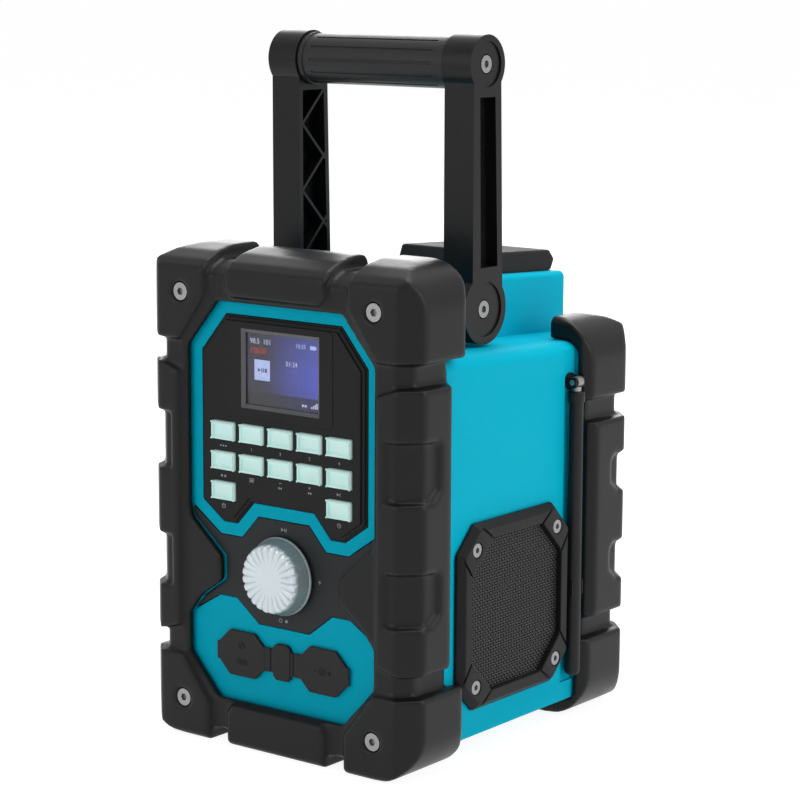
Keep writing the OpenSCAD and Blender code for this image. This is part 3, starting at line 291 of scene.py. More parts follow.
# ---- Screws ----
# Zinc-plated cap screws with a hexagon socket, sunk in the bumpers, the speaker frames, the
# rear cover, the handle's pivots and the ends of its grip.
# Worked metal: a fine grain from the tool and slow stains in the plating.
turned, given, result = new_group("turned_metal", (("Colour", "c"), ("Roughness", "f"),
                                                   ("Streak", "f")),
                                  (("Colour", "c"), ("Roughness", "f"), ("Height", "f")))
spot = object_spot(turned)
streak = place(turned, "ShaderNodeTexNoise", {"Vector": spot, "Scale": 2600.0, "Detail": 3.0})
stain = place(turned, "ShaderNodeTexNoise", {"Vector": spot, "Scale": 260.0, "Detail": 3.0})
lift = place(turned, "ShaderNodeMath", {0: stain.outputs["Fac"], 1: given.outputs["Streak"],
                                        2: 0.85}, operation="MULTIPLY_ADD")
tone = place(turned, "ShaderNodeVectorMath", {0: given.outputs["Colour"],
                                              "Scale": lift.outputs[0]}, operation="SCALE")
rough = place(turned, "ShaderNodeMath", {0: streak.outputs["Fac"], 1: given.outputs["Streak"],
                                         2: given.outputs["Roughness"]}, operation="MULTIPLY_ADD")
turned.links.new(tone.outputs[0], result.inputs["Colour"])
turned.links.new(rough.outputs[0], result.inputs["Roughness"])
turned.links.new(streak.outputs["Fac"], result.inputs["Height"])


METAL_GRAIN = 0.004


def metal_paint(name, colour, rough, streak=0.3, hollow_shade=0.0):
    """A plated or drawn metal; hollows such as a screw's socket can be darkened with painted
    shade, by the given amount.
    """
    paint = bpy.data.materials.new(name)
    paint.use_nodes = True
    tree = paint.node_tree
    shader = tree.nodes["Principled BSDF"]
    shader.inputs["Metallic"].default_value = 1
    skin = place(tree, "ShaderNodeGroup", {"Colour": (*colour, 1), "Roughness": rough,
                                           "Streak": streak}, node_tree=turned)
    bump = place(tree, "ShaderNodeBump", {"Strength": 0.6, "Distance": METAL_GRAIN * mm,
                                          "Height": skin.outputs["Height"]})
    colour = skin.outputs["Colour"]
    # Painted shade: concave hollows are darkened where the light does not reach.
    if hollow_shade:
        hollow_shade_mask = place(tree, "ShaderNodeMapRange",
                       {"Value": place(tree, "ShaderNodeNewGeometry", {}).outputs["Pointiness"],
                        "From Min": 0.38, "From Max": 0.49, "To Min": 1 - hollow_shade, "To Max": 1.0})
        colour = place(tree, "ShaderNodeVectorMath", {0: colour, "Scale": hollow_shade_mask.outputs[0]},
                       operation="SCALE").outputs[0]
    tree.links.new(colour, shader.inputs["Base Color"])
    tree.links.new(skin.outputs["Roughness"], shader.inputs["Roughness"])
    tree.links.new(bump.outputs[0], shader.inputs["Normal"])
    return paint


# The screws get painted shade darkening their sockets.
steel_paint = metal_paint("plated_steel", (0.30, 0.30, 0.305), 0.3, hollow_shade=0.9)
for node in ("bumper_screws", "speaker_screws", "rear_cover_screws", "pivot_bolts",
             "handle_screws"):
    softened(node, 0.7, steel_paint, steps=3)


# ---- Control panel ----
# A black plate that stands a little proud of the coloured ring round it, snapped in from the
# front. It carries the display and the keys; all its edges have a small radius.
# The share of a gap that one rounded edge may take, the cosine beyond which two edges run on as
# one, how much wider an edge may be than the next, and how often folds are mended.
ROOM_SHARE, STRAIGHT_ON, WIDTH_STEP, FOLD_ROUNDS = 0.42, -0.77, 1.6, 6


def room_widths(piece, radius):
    """Set each sharp edge's bevel weight so that no two rounded edges meet."""
    bm = bmesh.new()
    bm.from_mesh(piece.data)
    layer = bm.edges.layers.float.new("bevel_weight_edge")
    sharp = [e for e in bm.edges if len(e.link_faces) == 2 and e.calc_face_angle(0) > EDGE_TURN]
    at = {}
    for e in sharp:
        for v in e.verts:
            at.setdefault(v, []).append(e)

    def away(e, v):
        return (e.other_vert(v).co - v.co).normalized()

    curve = {e: e for e in sharp}

    def root(e):
        while curve[e] is not e:
            curve[e] = curve[curve[e]]
            e = curve[e]
        return e

    for v, ends in at.items():
        for i, a in enumerate(ends):
            for b in ends[i + 1:]:
                if away(a, v).dot(away(b, v)) < STRAIGHT_ON:
                    curve[root(a)] = root(b)
    length = {}
    for e in sharp:
        length[root(e)] = length.get(root(e), 0) + e.calc_length()
    samples = []
    for e in sharp:
        count = max(2, int(e.calc_length() / (radius * 0.5)) + 1)
        samples += [(e.verts[0].co.lerp(e.verts[1].co, (k + 0.5) / count), e)
                    for k in range(count)]
    tree = KDTree(len(samples))
    for i, (point, _) in enumerate(samples):
        tree.insert(point, i)
    tree.balance()
    near = {}
    for point, e in samples:
        touching = {root(o) for v in e.verts for o in at[v]}
        for _, i, gap in tree.find_range(point, radius / ROOM_SHARE):
            other = root(samples[i][1])
            if other is not root(e) and other not in touching:
                near[e] = min(near.get(e, 1), gap)
    width = {}
    for e in sharp:
        meeting = [length[root(o)] for v in e.verts for o in at[v] if root(o) is not root(e)]
        width[e] = min([radius, ROOM_SHARE * near.get(e, 1)] + [ROOM_SHARE * m for m in meeting])
    # Along a curve the width changes step by step, not all at once.
    for _ in range(2):
        for ends in at.values():
            for a in ends:
                for b in ends:
                    if a is not b and root(a) is root(b):
                        width[a] = min(width[a], WIDTH_STEP * width[b])
    for e in sharp:
        e[layer] = width[e] / radius
    bm.to_mesh(piece.data)
    bm.free()


def fold_points(mesh):
    """Corners of triangles that lie folded back in their face."""
    mesh.calc_loop_triangles()
    return [mesh.vertices[i].co.copy() for t in mesh.loop_triangles
            if t.area > 1e-10 and t.normal.dot(mesh.polygons[t.polygon_index].normal) < 0.7
            for i in t.vertices]


def eased(node, radius, paint):
    """A copy of the node with its full edge radius wherever there is room for it."""
    piece = merged_copy(node, node + "_moulding")
    room_widths(piece, radius * mm)
    rounding = {"width": radius * mm, "segments": 2, "limit_method": "WEIGHT",
                "use_clamp_overlap": False, "miter_outer": "MITER_ARC"}
    for _ in range(FOLD_ROUNDS):
        sharp_mesh = piece.data.copy()
        apply_modifier(piece, "BEVEL", **rounding)
        folds = fold_points(piece.data)
        if not folds:
            break
        piece.data = sharp_mesh
        tree = KDTree(len(folds))
        for i, point in enumerate(folds):
            tree.insert(point, i)
        tree.balance()
        weights = sharp_mesh.attributes["bevel_weight_edge"].data
        for e in sharp_mesh.edges:
            a, b = (sharp_mesh.vertices[i].co for i in e.vertices)
            reach = 1.5 * radius * mm * weights[e.index].value + 1e-4
            if min(tree.find(p)[2] for p in (a, b, (a + b) / 2)) < reach:
                weights[e.index].value *= 0.6
    else:
        apply_modifier(piece, "BEVEL", **rounding)
    shaded(piece)
    return fitted(piece, body_of[node], slot_of[node], paint, node)


panel_paint = moulded("panel_plastic", (0.016, 0.016, 0.0165), 0.5, depth=0.015, mottle=0.15,
                      gloss=0.12)
eased("control_panel", 0.6, panel_paint)


# ---- Display ----
# A small colour screen on its module, behind a clear window, in a satin grey bezel that slopes
# in to it. A low step with rounded corners on the panel's face frames it all.
PANEL_FACE = -95.05
SCREEN_Z = 204.7


def pick(piece, kind, test):
    """In edit mode, select the corners, edges or faces whose middle passes the test, in mm."""
    net = bmesh.from_edit_mesh(piece.data)
    bpy.ops.mesh.select_all(action="DESELECT")
    bpy.ops.mesh.select_mode(type=kind)
    parts = {"VERT": net.verts, "EDGE": net.edges, "FACE": net.faces}[kind]
    for part in parts:
        if kind == "VERT":
            middle = part.co
        elif kind == "EDGE":
            middle = (part.verts[0].co + part.verts[1].co) / 2
        else:
            middle = part.calc_center_median()
        if test(middle / mm, part):
            part.select_set(True)
    net.select_flush(True)
    bmesh.update_edit_mesh(piece.data)


def edit(piece):
    only(piece)
    bpy.ops.object.mode_set(mode="EDIT")


def settle():
    """Put the active piece's place, turn and size into its mesh."""
    bpy.ops.object.transform_apply(location=True, rotation=True, scale=True)


def drawn_out(x, y, z):
    """Extrude what is selected and move it, in mm."""
    bpy.ops.mesh.extrude_region_move(TRANSFORM_OT_translate={"value": (x * mm, y * mm, z * mm)})


def done(piece):
    """Leave edit mode with merged corners and normals that point outwards."""
    bpy.ops.mesh.select_all(action="SELECT")
    bpy.ops.mesh.remove_doubles(threshold=1e-6)
    bpy.ops.mesh.normals_make_consistent(inside=False)
    bpy.ops.object.mode_set(mode="OBJECT")
    settle()


def to_front(piece, y):
    """Turn a flat piece drawn in x and z, lying in x and y, to face the front at depth y."""
    piece.data.transform(Matrix.Translation((0, y * mm, 0)) @ Matrix.Rotation(pi / 2, 4, "X"))


def frame_ring(name, inner, outer, drop=0.0, corner=0.0):
    """A flat ring between two rectangles at the screen, the outer one lower by drop, left in
    edit mode."""
    bpy.ops.mesh.primitive_plane_add(size=1, location=(0, SCREEN_Z * mm, 0))
    piece = bpy.context.object
    piece.name = name
    piece.scale = (inner[0] * mm, inner[1] * mm, 1)
    settle()
    edit(piece)
    bpy.ops.mesh.select_all(action="SELECT")
    bpy.ops.mesh.delete(type="ONLY_FACE")
    bpy.ops.mesh.select_mode(type="EDGE")
    bpy.ops.mesh.select_all(action="SELECT")
    drawn_out(0, -drop, 0)
    bpy.ops.transform.resize(value=(outer[0] / inner[0], outer[1] / inner[1], 1),
                             center_override=(0, (SCREEN_Z - drop) * mm, 0))
    if corner:
        bpy.ops.mesh.select_mode(type="VERT")
        bpy.ops.mesh.bevel(offset=corner * mm, segments=5, affect="VERTICES")
    return piece


step_paint = moulded("step_plastic", (0.016, 0.016, 0.0165), 0.44, depth=0.012, mottle=0.15,
                     gloss=0.12)
# The slope's outer and inner edge, the step's edge, and how far its foot spreads and sinks.
SLOPE_TOP, SLOPE_FOOT, STEP_EDGE = (52.8, 41.9), (48.9, 37.9), (70, 50.3)
STEP_DROP, STEP_PROUD, STEP_SPREAD, STEP_SINK = 0.85, 0.3, 0.5, 0.4
piece = frame_ring("display_step", SLOPE_TOP, STEP_EDGE, STEP_DROP, corner=3.2)
pick(piece, "EDGE", lambda m, e: e.is_boundary and (abs(m.x) > 27 or abs(m.y - SCREEN_Z) > 22))
drawn_out(0, 0, -STEP_SINK)
bpy.ops.transform.resize(value=(1 + STEP_SPREAD / STEP_EDGE[0], 1 + STEP_SPREAD / STEP_EDGE[1], 1),
                         center_override=(0, (SCREEN_Z - STEP_DROP) * mm, 0))
done(piece)
to_front(piece, PANEL_FACE - STEP_PROUD)
shaded(piece, 25)
fitted(piece, "housing", "panel_plastic", step_paint)

bezel_paint = moulded("bezel_plastic", (0.13, 0.13, 0.135), 0.4, depth=0.008, mottle=0.1)
piece = frame_ring("display_bezel", SLOPE_FOOT, SLOPE_TOP)
pick(piece, "VERT", lambda m, v: abs(m.x) < 25)
bpy.ops.transform.translate(value=(0, 0, -1.55 * mm))
pick(piece, "EDGE", lambda m, e: e.is_boundary and m.z > -0.1)
drawn_out(0, 0, -0.2)
bpy.ops.transform.resize(value=(1.003, 1.003, 1), center_override=(0, SCREEN_Z * mm, 0))
done(piece)
to_front(piece, PANEL_FACE - STEP_PROUD)
fitted(piece, "housing", "panel_plastic", bezel_paint)

glass_paint = bpy.data.materials.new("clear_window")
glass_paint.use_nodes = True
tree = glass_paint.node_tree
shader = tree.nodes["Principled BSDF"]
shader.inputs["Transmission Weight"].default_value = 1
shader.inputs["IOR"].default_value = 1.3
shader.inputs["Specular IOR Level"].default_value = 0.3
smear = place(tree, "ShaderNodeTexNoise", {"Vector": object_spot(tree), "Scale": 120.0,
                                           "Detail": 2.0})
haze = place(tree, "ShaderNodeMapRange", {"Value": smear.outputs["Fac"], "To Min": 0.0,
                                          "To Max": 0.012})
tree.links.new(haze.outputs[0], shader.inputs["Roughness"])


def recoat(node, paint):
    """A CAD node whose shape is right keeps it and takes a better material."""
    nodes[node].data.materials.clear()
    nodes[node].data.materials.append(paint)


recoat("display_window", glass_paint)
module_paint = moulded("module_frame", (0.03, 0.03, 0.032), 0.35, size=900.0, depth=0.01)
recoat("display_module", module_paint)

# The lit picture: dusk blue that brightens to violet on the right, dark along its foot.
picture_paint = bpy.data.materials.new("lit_picture")
picture_paint.use_nodes = True
tree = picture_paint.node_tree
shader = tree.nodes["Principled BSDF"]
axes = place(tree, "ShaderNodeSeparateXYZ", {0: object_spot(tree)})
across = place(tree, "ShaderNodeMapRange", {"Value": axes.outputs["X"], "From Min": -24 * mm,
                                            "From Max": 24 * mm})
up = place(tree, "ShaderNodeMapRange", {"Value": axes.outputs["Z"], "From Min": 186 * mm,
                                        "From Max": 223.5 * mm})
blues = place(tree, "ShaderNodeValToRGB", {0: across.outputs[0]})
ramp = blues.color_ramp
ramp.elements[0].color = (0.013, 0.012, 0.035, 1)
ramp.elements[1].color = (0.07, 0.095, 0.56, 1)
ramp.elements.new(0.28).color = (0.017, 0.018, 0.06, 1)
ramp.elements.new(0.62).color = (0.05, 0.062, 0.34, 1)
shades = place(tree, "ShaderNodeValToRGB", {0: up.outputs[0]})
ramp = shades.color_ramp
ramp.elements[0].color = (0.12, 0.08, 0.16, 1)
ramp.elements[1].color = (0.62, 0.6, 0.62, 1)
ramp.elements.new(0.17).color = (0.13, 0.09, 0.17, 1)
ramp.elements.new(0.19).color = (0.8, 0.8, 0.85, 1)
ramp.elements.new(0.5).color = (1, 1, 1, 1)
dusk = place(tree, "ShaderNodeMix", {0: 1.0, 6: blues.outputs[0], 7: shades.outputs[0]},
             data_type="RGBA", blend_type="MULTIPLY")
shader.inputs["Base Color"].default_value = (0.004, 0.004, 0.005, 1)
shader.inputs["Roughness"].default_value = 0.3
shader.inputs["Emission Strength"].default_value = 1
tree.links.new(dusk.outputs[2], shader.inputs["Emission Color"])
PICTURE_Y, PICTURE_W, PICTURE_H, PICTURE_T = -92.53, 50.4, 39.4, 0.06
bpy.ops.mesh.primitive_plane_add(size=1, location=(0, SCREEN_Z * mm, 0))
piece = bpy.context.object
piece.name = "display_picture"
piece.scale = (PICTURE_W * mm, PICTURE_H * mm, 1)
settle()
edit(piece)
bpy.ops.mesh.select_all(action="SELECT")
drawn_out(0, 0, PICTURE_T)
done(piece)
to_front(piece, PICTURE_Y + PICTURE_T)
fitted(piece, "housing", "display", picture_paint)


# Small flat shapes for printing and for the screen, each drawn flat in x and z.
def dab(x, z, width, height, corner=0.0):
    bpy.ops.mesh.primitive_plane_add(size=1, location=(x * mm, z * mm, 0))
    piece = bpy.context.object
    piece.scale = (width * mm, height * mm, 1)
    settle()
    if corner:
        edit(piece)
        bpy.ops.mesh.select_all(action="SELECT")
        bpy.ops.mesh.bevel(offset=corner * mm, segments=3, affect="VERTICES")
        bpy.ops.object.mode_set(mode="OBJECT")
    return piece


def arrow(x, z, radius, way=0):
    bpy.ops.mesh.primitive_circle_add(vertices=3, radius=radius * mm, fill_type="NGON",
                                      location=(x * mm, z * mm, 0),
                                      rotation=(0, 0, -pi / 2 + way))
    return bpy.context.object


def hoop(x, z, outer, inner, gap=0.0):
    """A ring, open at the top for a power mark where a gap is given."""
    bpy.ops.mesh.primitive_circle_add(vertices=32, radius=outer * mm, fill_type="NGON",
                                      location=(x * mm, z * mm, 0))
    piece = bpy.context.object
    edit(piece)
    bpy.ops.mesh.select_all(action="SELECT")
    bpy.ops.mesh.inset(thickness=(outer - inner) * mm)
    bpy.ops.mesh.delete(type="FACE")
    if gap:
        pick(piece, "FACE", lambda m, f: abs(m.x) < gap and m.y > 0)
        bpy.ops.mesh.delete(type="FACE")
    bpy.ops.object.mode_set(mode="OBJECT")
    return piece


def figure(text, height, x, z, align="CENTER"):
    bpy.ops.object.text_add(location=(0, 0, 0))
    piece = bpy.context.object
    piece.data.body = text
    piece.data.size = height / 0.7 * mm
    piece.data.align_x = align
    piece.data.align_y = "CENTER"
    piece.data.resolution_u = 3
    bpy.ops.object.convert(target="MESH")
    piece = bpy.context.object
    piece.data.transform(Matrix.Translation((x * mm, z * mm, 0)))
    return piece


def joined(pieces):
    bpy.ops.object.select_all(action="DESELECT")
    for piece in pieces:
        piece.select_set(True)
    bpy.context.view_layer.objects.active = pieces[0]
    if len(pieces) > 1:
        bpy.ops.object.join()
    return bpy.context.object


def printed(name, y, body, slot, paint, shapes, thick):
    """Join flat shapes into one thin print that stands proud of depth y, facing the front."""
    piece = joined(shapes)
    piece.name = name
    settle()
    edit(piece)
    bpy.ops.mesh.select_all(action="SELECT")
    bpy.ops.mesh.normals_make_consistent(inside=False)
    bpy.ops.object.mode_set(mode="OBJECT")
    if sum(face.normal.z for face in piece.data.polygons) < 0:
        piece.data.flip_normals()
    apply_modifier(piece, "SOLIDIFY", thickness=thick * mm, offset=1)
    to_front(piece, y)
    return fitted(piece, body, slot, paint)


def glowing(paint, colour, patch, low, high, strength):
    """Let a finish shine faintly, uneven in patches between low and high."""
    tree = paint.node_tree
    shader = tree.nodes["Principled BSDF"]
    cells = place(tree, "ShaderNodeTexNoise", {"Vector": object_spot(tree), "Scale": patch})
    level = place(tree, "ShaderNodeMapRange", {"Value": cells.outputs["Fac"], "To Min": low,
                                               "To Max": high})
    glow = place(tree, "ShaderNodeVectorMath", {0: colour, "Scale": level.outputs[0]},
                 operation="SCALE")
    tree.links.new(glow.outputs[0], shader.inputs["Emission Color"])
    shader.inputs["Emission Strength"].default_value = strength
    return paint


def lit(name, colour):
    """A lit part of the picture, uneven as a small backlit screen is."""
    return glowing(moulded(name, (0.01, 0.01, 0.01), 0.4, depth=0.002), colour, 300.0, 0.85, 1.1,
                   1)


GLYPH_Y = PICTURE_Y - 0.001
white_light = lit("white_light", (0.55, 0.6, 0.8))
red_light = lit("red_light", (0.55, 0.05, 0.03))
blue_light = lit("pale_blue_light", (0.46, 0.55, 0.9))
ink_light = lit("ink_light", (0.02, 0.03, 0.12))
bars = [dab(19.4 + 1.2 * i, 188.2 + 0.35 * i, 0.8, 0.9 + 0.7 * i) for i in range(4)]
printed("screen_white_figures", GLYPH_Y, "housing", "display", white_light,
        [figure("98.5  101", 2.7, -22.3, 219.3, "LEFT"), figure("01:24", 2.5, 2.0, 209.2, "LEFT"),
         arrow(13.6, 188.7, 1.1), arrow(15.4, 188.7, 1.1)] + bars, thick=0.02)
printed("screen_red_figures", GLYPH_Y, "housing", "display", red_light,
        [figure("128.00", 2.9, -22.3, 214.3, "LEFT")], thick=0.02)
printed("screen_blue_figures", GLYPH_Y, "housing", "display", blue_light,
        [dab(-14, 204.4, 10.6, 10.8, 0.3), figure("10:35", 2.2, 8.6, 219.2, "LEFT"),
         dab(20.2, 219.2, 3.6, 2, 0.2), dab(22.4, 219.2, 0.6, 1)], thick=0.02)
printed("screen_tile_mark", GLYPH_Y - 0.02, "housing", "display", ink_light,
        [arrow(-16.3, 204.4, 1.2), dab(-14.2, 204.4, 0.7, 2.1), dab(-12.9, 204.4, 0.7, 2.1),
         dab(-11.4, 204.4, 1.2, 2.1)], thick=0.015)

# ---- Keys ----
# Twelve translucent silicone caps in a pale mint with a faint painted glow that brightens them,
# each with a softly pillowed face. A flange behind the panel keeps the cap in, and a stem meets
# its switch.
KEY_W, KEY_H, KEY_PITCH = 15.96, 9.8, 19.66
KEY_ROWS = (169.9, 153.7, 137.5)
KEY_FACE, KEY_FLANGE, KEY_BACK, KEY_LIP = -96.05, -92.45, -91.25, 2
STEM_LENGTH, STEM_MIDDLE = 7.9, -87.4

bpy.ops.mesh.primitive_cube_add(size=1, location=(0, (KEY_FACE + KEY_FLANGE) / 2 * mm, 0))
key_cap = bpy.context.object
key_cap.scale = (KEY_W * mm, (KEY_FLANGE - KEY_FACE) * mm, KEY_H * mm)
settle()
edit(key_cap)
pick(key_cap, "EDGE", lambda m, e: abs(m.x) > 1 and abs(m.z) > 1)
bpy.ops.mesh.bevel(offset=0.9 * mm, segments=4)
pick(key_cap, "FACE", lambda m, f: f.normal.y < -0.9)
bpy.ops.mesh.inset(thickness=0.9 * mm)
bpy.ops.transform.translate(value=(0, -0.28 * mm, 0))
pick(key_cap, "EDGE", lambda m, e: abs(m.y - KEY_FACE) < 0.01
     and (abs(m.x) > KEY_W / 2 - 0.4 or abs(m.z) > KEY_H / 2 - 0.4))
bpy.ops.mesh.bevel(offset=0.42 * mm, segments=3)
pick(key_cap, "FACE", lambda m, f: f.normal.y > 0.9)
drawn_out(0, 0, 0)
bpy.ops.transform.resize(value=((KEY_W + KEY_LIP) / KEY_W, 1, (KEY_H + KEY_LIP) / KEY_H))
drawn_out(0, KEY_BACK - KEY_FLANGE, 0)
done(key_cap)
bpy.ops.mesh.primitive_cylinder_add(vertices=24, radius=2 * mm, depth=STEM_LENGTH * mm,
                                    location=(0, STEM_MIDDLE * mm, 0), rotation=(pi / 2, 0, 0))
stem = bpy.context.object
edit(stem)
pick(stem, "FACE", lambda m, f: len(f.verts) > 4)
bpy.ops.mesh.inset(thickness=0.3 * mm)
done(stem)
joined([key_cap, stem])

key_paint = moulded("mint_silicone", (0.64, 0.86, 0.84), 0.42, size=900.0, depth=0.008,
                    mottle=0.04, gloss=0.4)
# A faint painted glow that brightens the caps, uneven in patches.
glowing(key_paint, (0.5, 0.72, 0.66), 90.0, 0.7, 1.2, 0.22)
for row, column in [(r, c) for r in (1, 2) for c in range(1, 6)] + [(3, 1), (3, 5)]:
    name = f"key_{row}_{column}"
    piece = new_piece(name + "_cap", key_cap.data.copy())
    piece.data.transform(Matrix.Translation(((column - 3) * KEY_PITCH * mm, 0,
                                             KEY_ROWS[row - 1] * mm)))
    shaded(piece, 60)
    fitted(piece, body_of[name], slot_of[name], key_paint, name)
bpy.data.objects.remove(key_cap)

# ---- Key marks ----
# Small pale prints under the keys: plain numbers, signs and arrows, a power mark and a clock.
ink_paint = moulded("pale_ink", (0.36, 0.36, 0.36), 0.5, depth=0.002, mottle=0.3)
columns = [KEY_PITCH * i for i in range(-2, 3)]
MARK_DROP = 8.1
under = [z - MARK_DROP for z in KEY_ROWS]
marks = [figure(str(i + 1), 1.7, columns[i + 1], under[0]) for i in range(4)]
marks += [dab(columns[0] + dx, under[0], 0.9, 0.9, 0.3) for dx in (-1.8, 0, 1.8)]
marks += [arrow(columns[0] - 1.2, under[1], 0.95, pi), arrow(columns[0] + 1.2, under[1], 0.95)]
marks += [dab(columns[1], under[1] + dz, 3.2, 0.35) for dz in (-0.8, 0, 0.8)]
marks += [dab(columns[2], under[1] + 0.9, 1.5, 0.35), dab(columns[3], under[1] + 0.9, 1.5, 0.35),
          dab(columns[3], under[1] + 0.9, 0.35, 1.5)]
marks += [arrow(columns[2] + dx, under[1] - 1.8, 0.8, pi) for dx in (-0.9, 0.5)]
marks += [arrow(columns[3] + dx, under[1] - 1.8, 0.8) for dx in (-0.5, 0.9)]
marks += [arrow(columns[4] - 0.9, under[1], 0.95), dab(columns[4] + 0.6, under[1], 0.4, 1.7)]
marks += [hoop(columns[0], under[2], 1.25, 0.95, gap=0.5),
          dab(columns[0], under[2] + 0.75, 0.35, 1.3)]
marks += [hoop(columns[4], under[2], 1.25, 1.0), dab(columns[4], under[2] + 0.35, 0.28, 0.9),
          dab(columns[4] + 0.3, under[2] - 0.05, 0.8, 0.28)]
printed("key_marks", PANEL_FACE, "housing", "panel_plastic", ink_paint, marks, thick=0.04)

# ---- Centre panel and knob ----
# A dark panel with wings between the two coloured openings, and on it a cast knob in pearly
# silver: a smooth dish in the middle, fluted towards its scalloped rim, on a conical skirt.
centre_paint = moulded("centre_plastic", (0.031, 0.0345, 0.037), 0.45, depth=0.015,
                        mottle=0.12, gloss=0.12)
centre = eased("centre_panel", 0.8, centre_paint)
# The wings' ends are tucked further under the bumper, so that no gap shows beside it.
WING_FROM, WING_TUCK = 56.0, 1.1
for corner in centre.data.vertices:
    if abs(corner.co.x) > WING_FROM * mm:
        corner.co.x += (WING_TUCK if corner.co.x > 0 else -WING_TUCK) * mm

KNOB_Z = 96.8
CENTRE_FACE = -92.75
MARK_RING = 24.6
over, below = KNOB_Z + MARK_RING - 0.2, KNOB_Z - MARK_RING
marks = [arrow(-0.9, over, 1.1), dab(1.0, over, 0.5, 1.8), dab(2.0, over, 0.5, 1.8),
         dab(-MARK_RING, KNOB_Z, 2.0, 0.4), dab(MARK_RING, KNOB_Z, 2.0, 0.4),
         dab(MARK_RING, KNOB_Z, 0.4, 2.0), hoop(-2, below, 1.1, 0.8),
         dab(2, below, 1.5, 1.5, 0.4)]
printed("knob_marks", CENTRE_FACE, "housing", "panel_plastic", ink_paint, marks, thick=0.04)

FLUTES, PER_FLUTE = 24, 8
KNOB_FACE = -105.75


def flute_depth(angle):
    """0 on a rib's crest and 1 in the groove between two ribs."""
    turn = abs((angle * FLUTES / tau) % 1 - 0.5) * 2
    return turn ** 4


# radius, depth behind the face, and how far a groove sinks and pulls in there
KNOB_RINGS = ((5, 0.9, 0, 0), (8, 0.75, 0.05, 0), (9.2, 0.55, 0.25, 0), (12.5, 0.1, 0.7, 0),
              (15.6, 0, 1.0, 0), (16.9, 0.15, 1.2, 0.2), (17.7, 0.7, 1.0, 0.6),
              (18.1, 1.5, 0.5, 0.9), (18.5, 2.8, 0, 0.35), (18.8, 4.2, 0, 0), (20.4, 9.6, 0, 0),
              (20.9, 10.1, 0, 0), (20.9, 10.95, 0, 0), (17.2, 10.95, 0, 0), (16.6, 2.6, 0, 0),
              (5.5, 2.6, 0, 0), (5.5, 4.7, 0, 0), (3, 4.7, 0, 0), (3, 3.9, 0, 0))
bpy.ops.mesh.primitive_circle_add(vertices=FLUTES * PER_FLUTE, radius=KNOB_RINGS[0][0] * mm,
                                  fill_type="NGON")
knob = bpy.context.object
knob.name = "tuning_knob_cast"
edit(knob)
bpy.ops.mesh.select_mode(type="FACE")
bpy.ops.mesh.select_all(action="SELECT")
bpy.ops.mesh.inset(thickness=2.6 * mm)
bpy.ops.transform.translate(value=(0, 0, -0.05 * mm))
bpy.ops.mesh.select_mode(type="EDGE")
pick(knob, "EDGE", lambda m, e: e.is_boundary)
last = KNOB_RINGS[0]
for ring in KNOB_RINGS[1:]:
    drawn_out(0, 0, last[1] - ring[1])
    bpy.ops.transform.resize(value=(ring[0] / last[0], ring[0] / last[0], 1))
    last = ring
bpy.ops.mesh.edge_face_add()
done(knob)
for corner in knob.data.vertices:
    spot = corner.co / mm
    reach, depth = hypot(spot.x, spot.y), KNOB_RINGS[0][1] - spot.z
    for radius, ring_depth, sink, pull in KNOB_RINGS:
        if sink + pull and abs(reach - radius) < 0.02 and abs(depth - ring_depth) < 0.02:
            groove = flute_depth(atan2(spot.y, spot.x))
            corner.co.z -= sink * groove * mm
            corner.co.x *= 1 - pull * groove / radius
            corner.co.y *= 1 - pull * groove / radius
knob.data.transform(Matrix.Translation((0, (KNOB_FACE + KNOB_RINGS[0][1]) * mm, KNOB_Z * mm))
                    @ Matrix.Rotation(pi / 2, 4, "X"))
shaded(knob, 28)
knob_paint = moulded("pearl_silver", (0.72, 0.80, 0.84), 0.3, size=1800.0, depth=0.003,
                     mottle=0.06, gloss=0.45, metal=0.3)
# Behind the fluted dish, the skirt is painted a darker grey: painted shade, for the side that lies
# in shadow.
SKIRT_FROM, SKIRT_FULL = 1.6, 3.4
tree = knob_paint.node_tree
shader = tree.nodes["Principled BSDF"]
skin = next(n for n in tree.nodes if n.type == "GROUP")
depth = place(tree, "ShaderNodeSeparateXYZ", {0: object_spot(tree)})
skirt = place(tree, "ShaderNodeMapRange", {"Value": depth.outputs["Y"],
                                           "From Min": (KNOB_FACE + SKIRT_FROM) * mm,
                                           "From Max": (KNOB_FACE + SKIRT_FULL) * mm})
# Painted shade on the skirt, blended in by depth behind the knob's face.
skirt_shade_mix = place(tree, "ShaderNodeMix", {0: skirt.outputs[0], 6: skin.outputs["Colour"],
                                         7: (0.33, 0.40, 0.41, 1)}, data_type="RGBA")
tree.links.new(skirt_shade_mix.outputs[2], shader.inputs["Base Color"])
fitted(knob, body_of["tuning_knob"], slot_of["tuning_knob"], knob_paint, "tuning_knob")

# ---- Port covers ----
# Two matt rubber flaps on one strap, pressed over the sockets; the strap's middle is plugged
# into the housing, and each flap bends at its thin neck. Low signs tell what is behind.
cover_paint = moulded("cover_rubber", (0.032, 0.032, 0.0325), 0.6, size=1000.0, depth=0.03,
                      mottle=0.2, gloss=0.14)
for node in ("port_cover_left", "port_cover_right", "port_anchor"):
    eased(node, 0.8, cover_paint)
relief_paint = moulded("cover_relief", (0.015, 0.015, 0.0155), 0.5, size=1000.0, depth=0.02,
                       gloss=0.12)
COVER_FACE, COVER_X, COVER_Z, SIGN_T = -94.55, 27.6, 49.8, 0.18
printed("left_cover_signs", COVER_FACE, "port_cover_left", "cover_rubber", relief_paint,
        [hoop(-COVER_X, 54.6, 2.1, 1.5), dab(-COVER_X, 54.6, 1.2, 1.2, 0.4),
         dab(-COVER_X, 45.6, 7, 3, 0.3)], thick=SIGN_T)
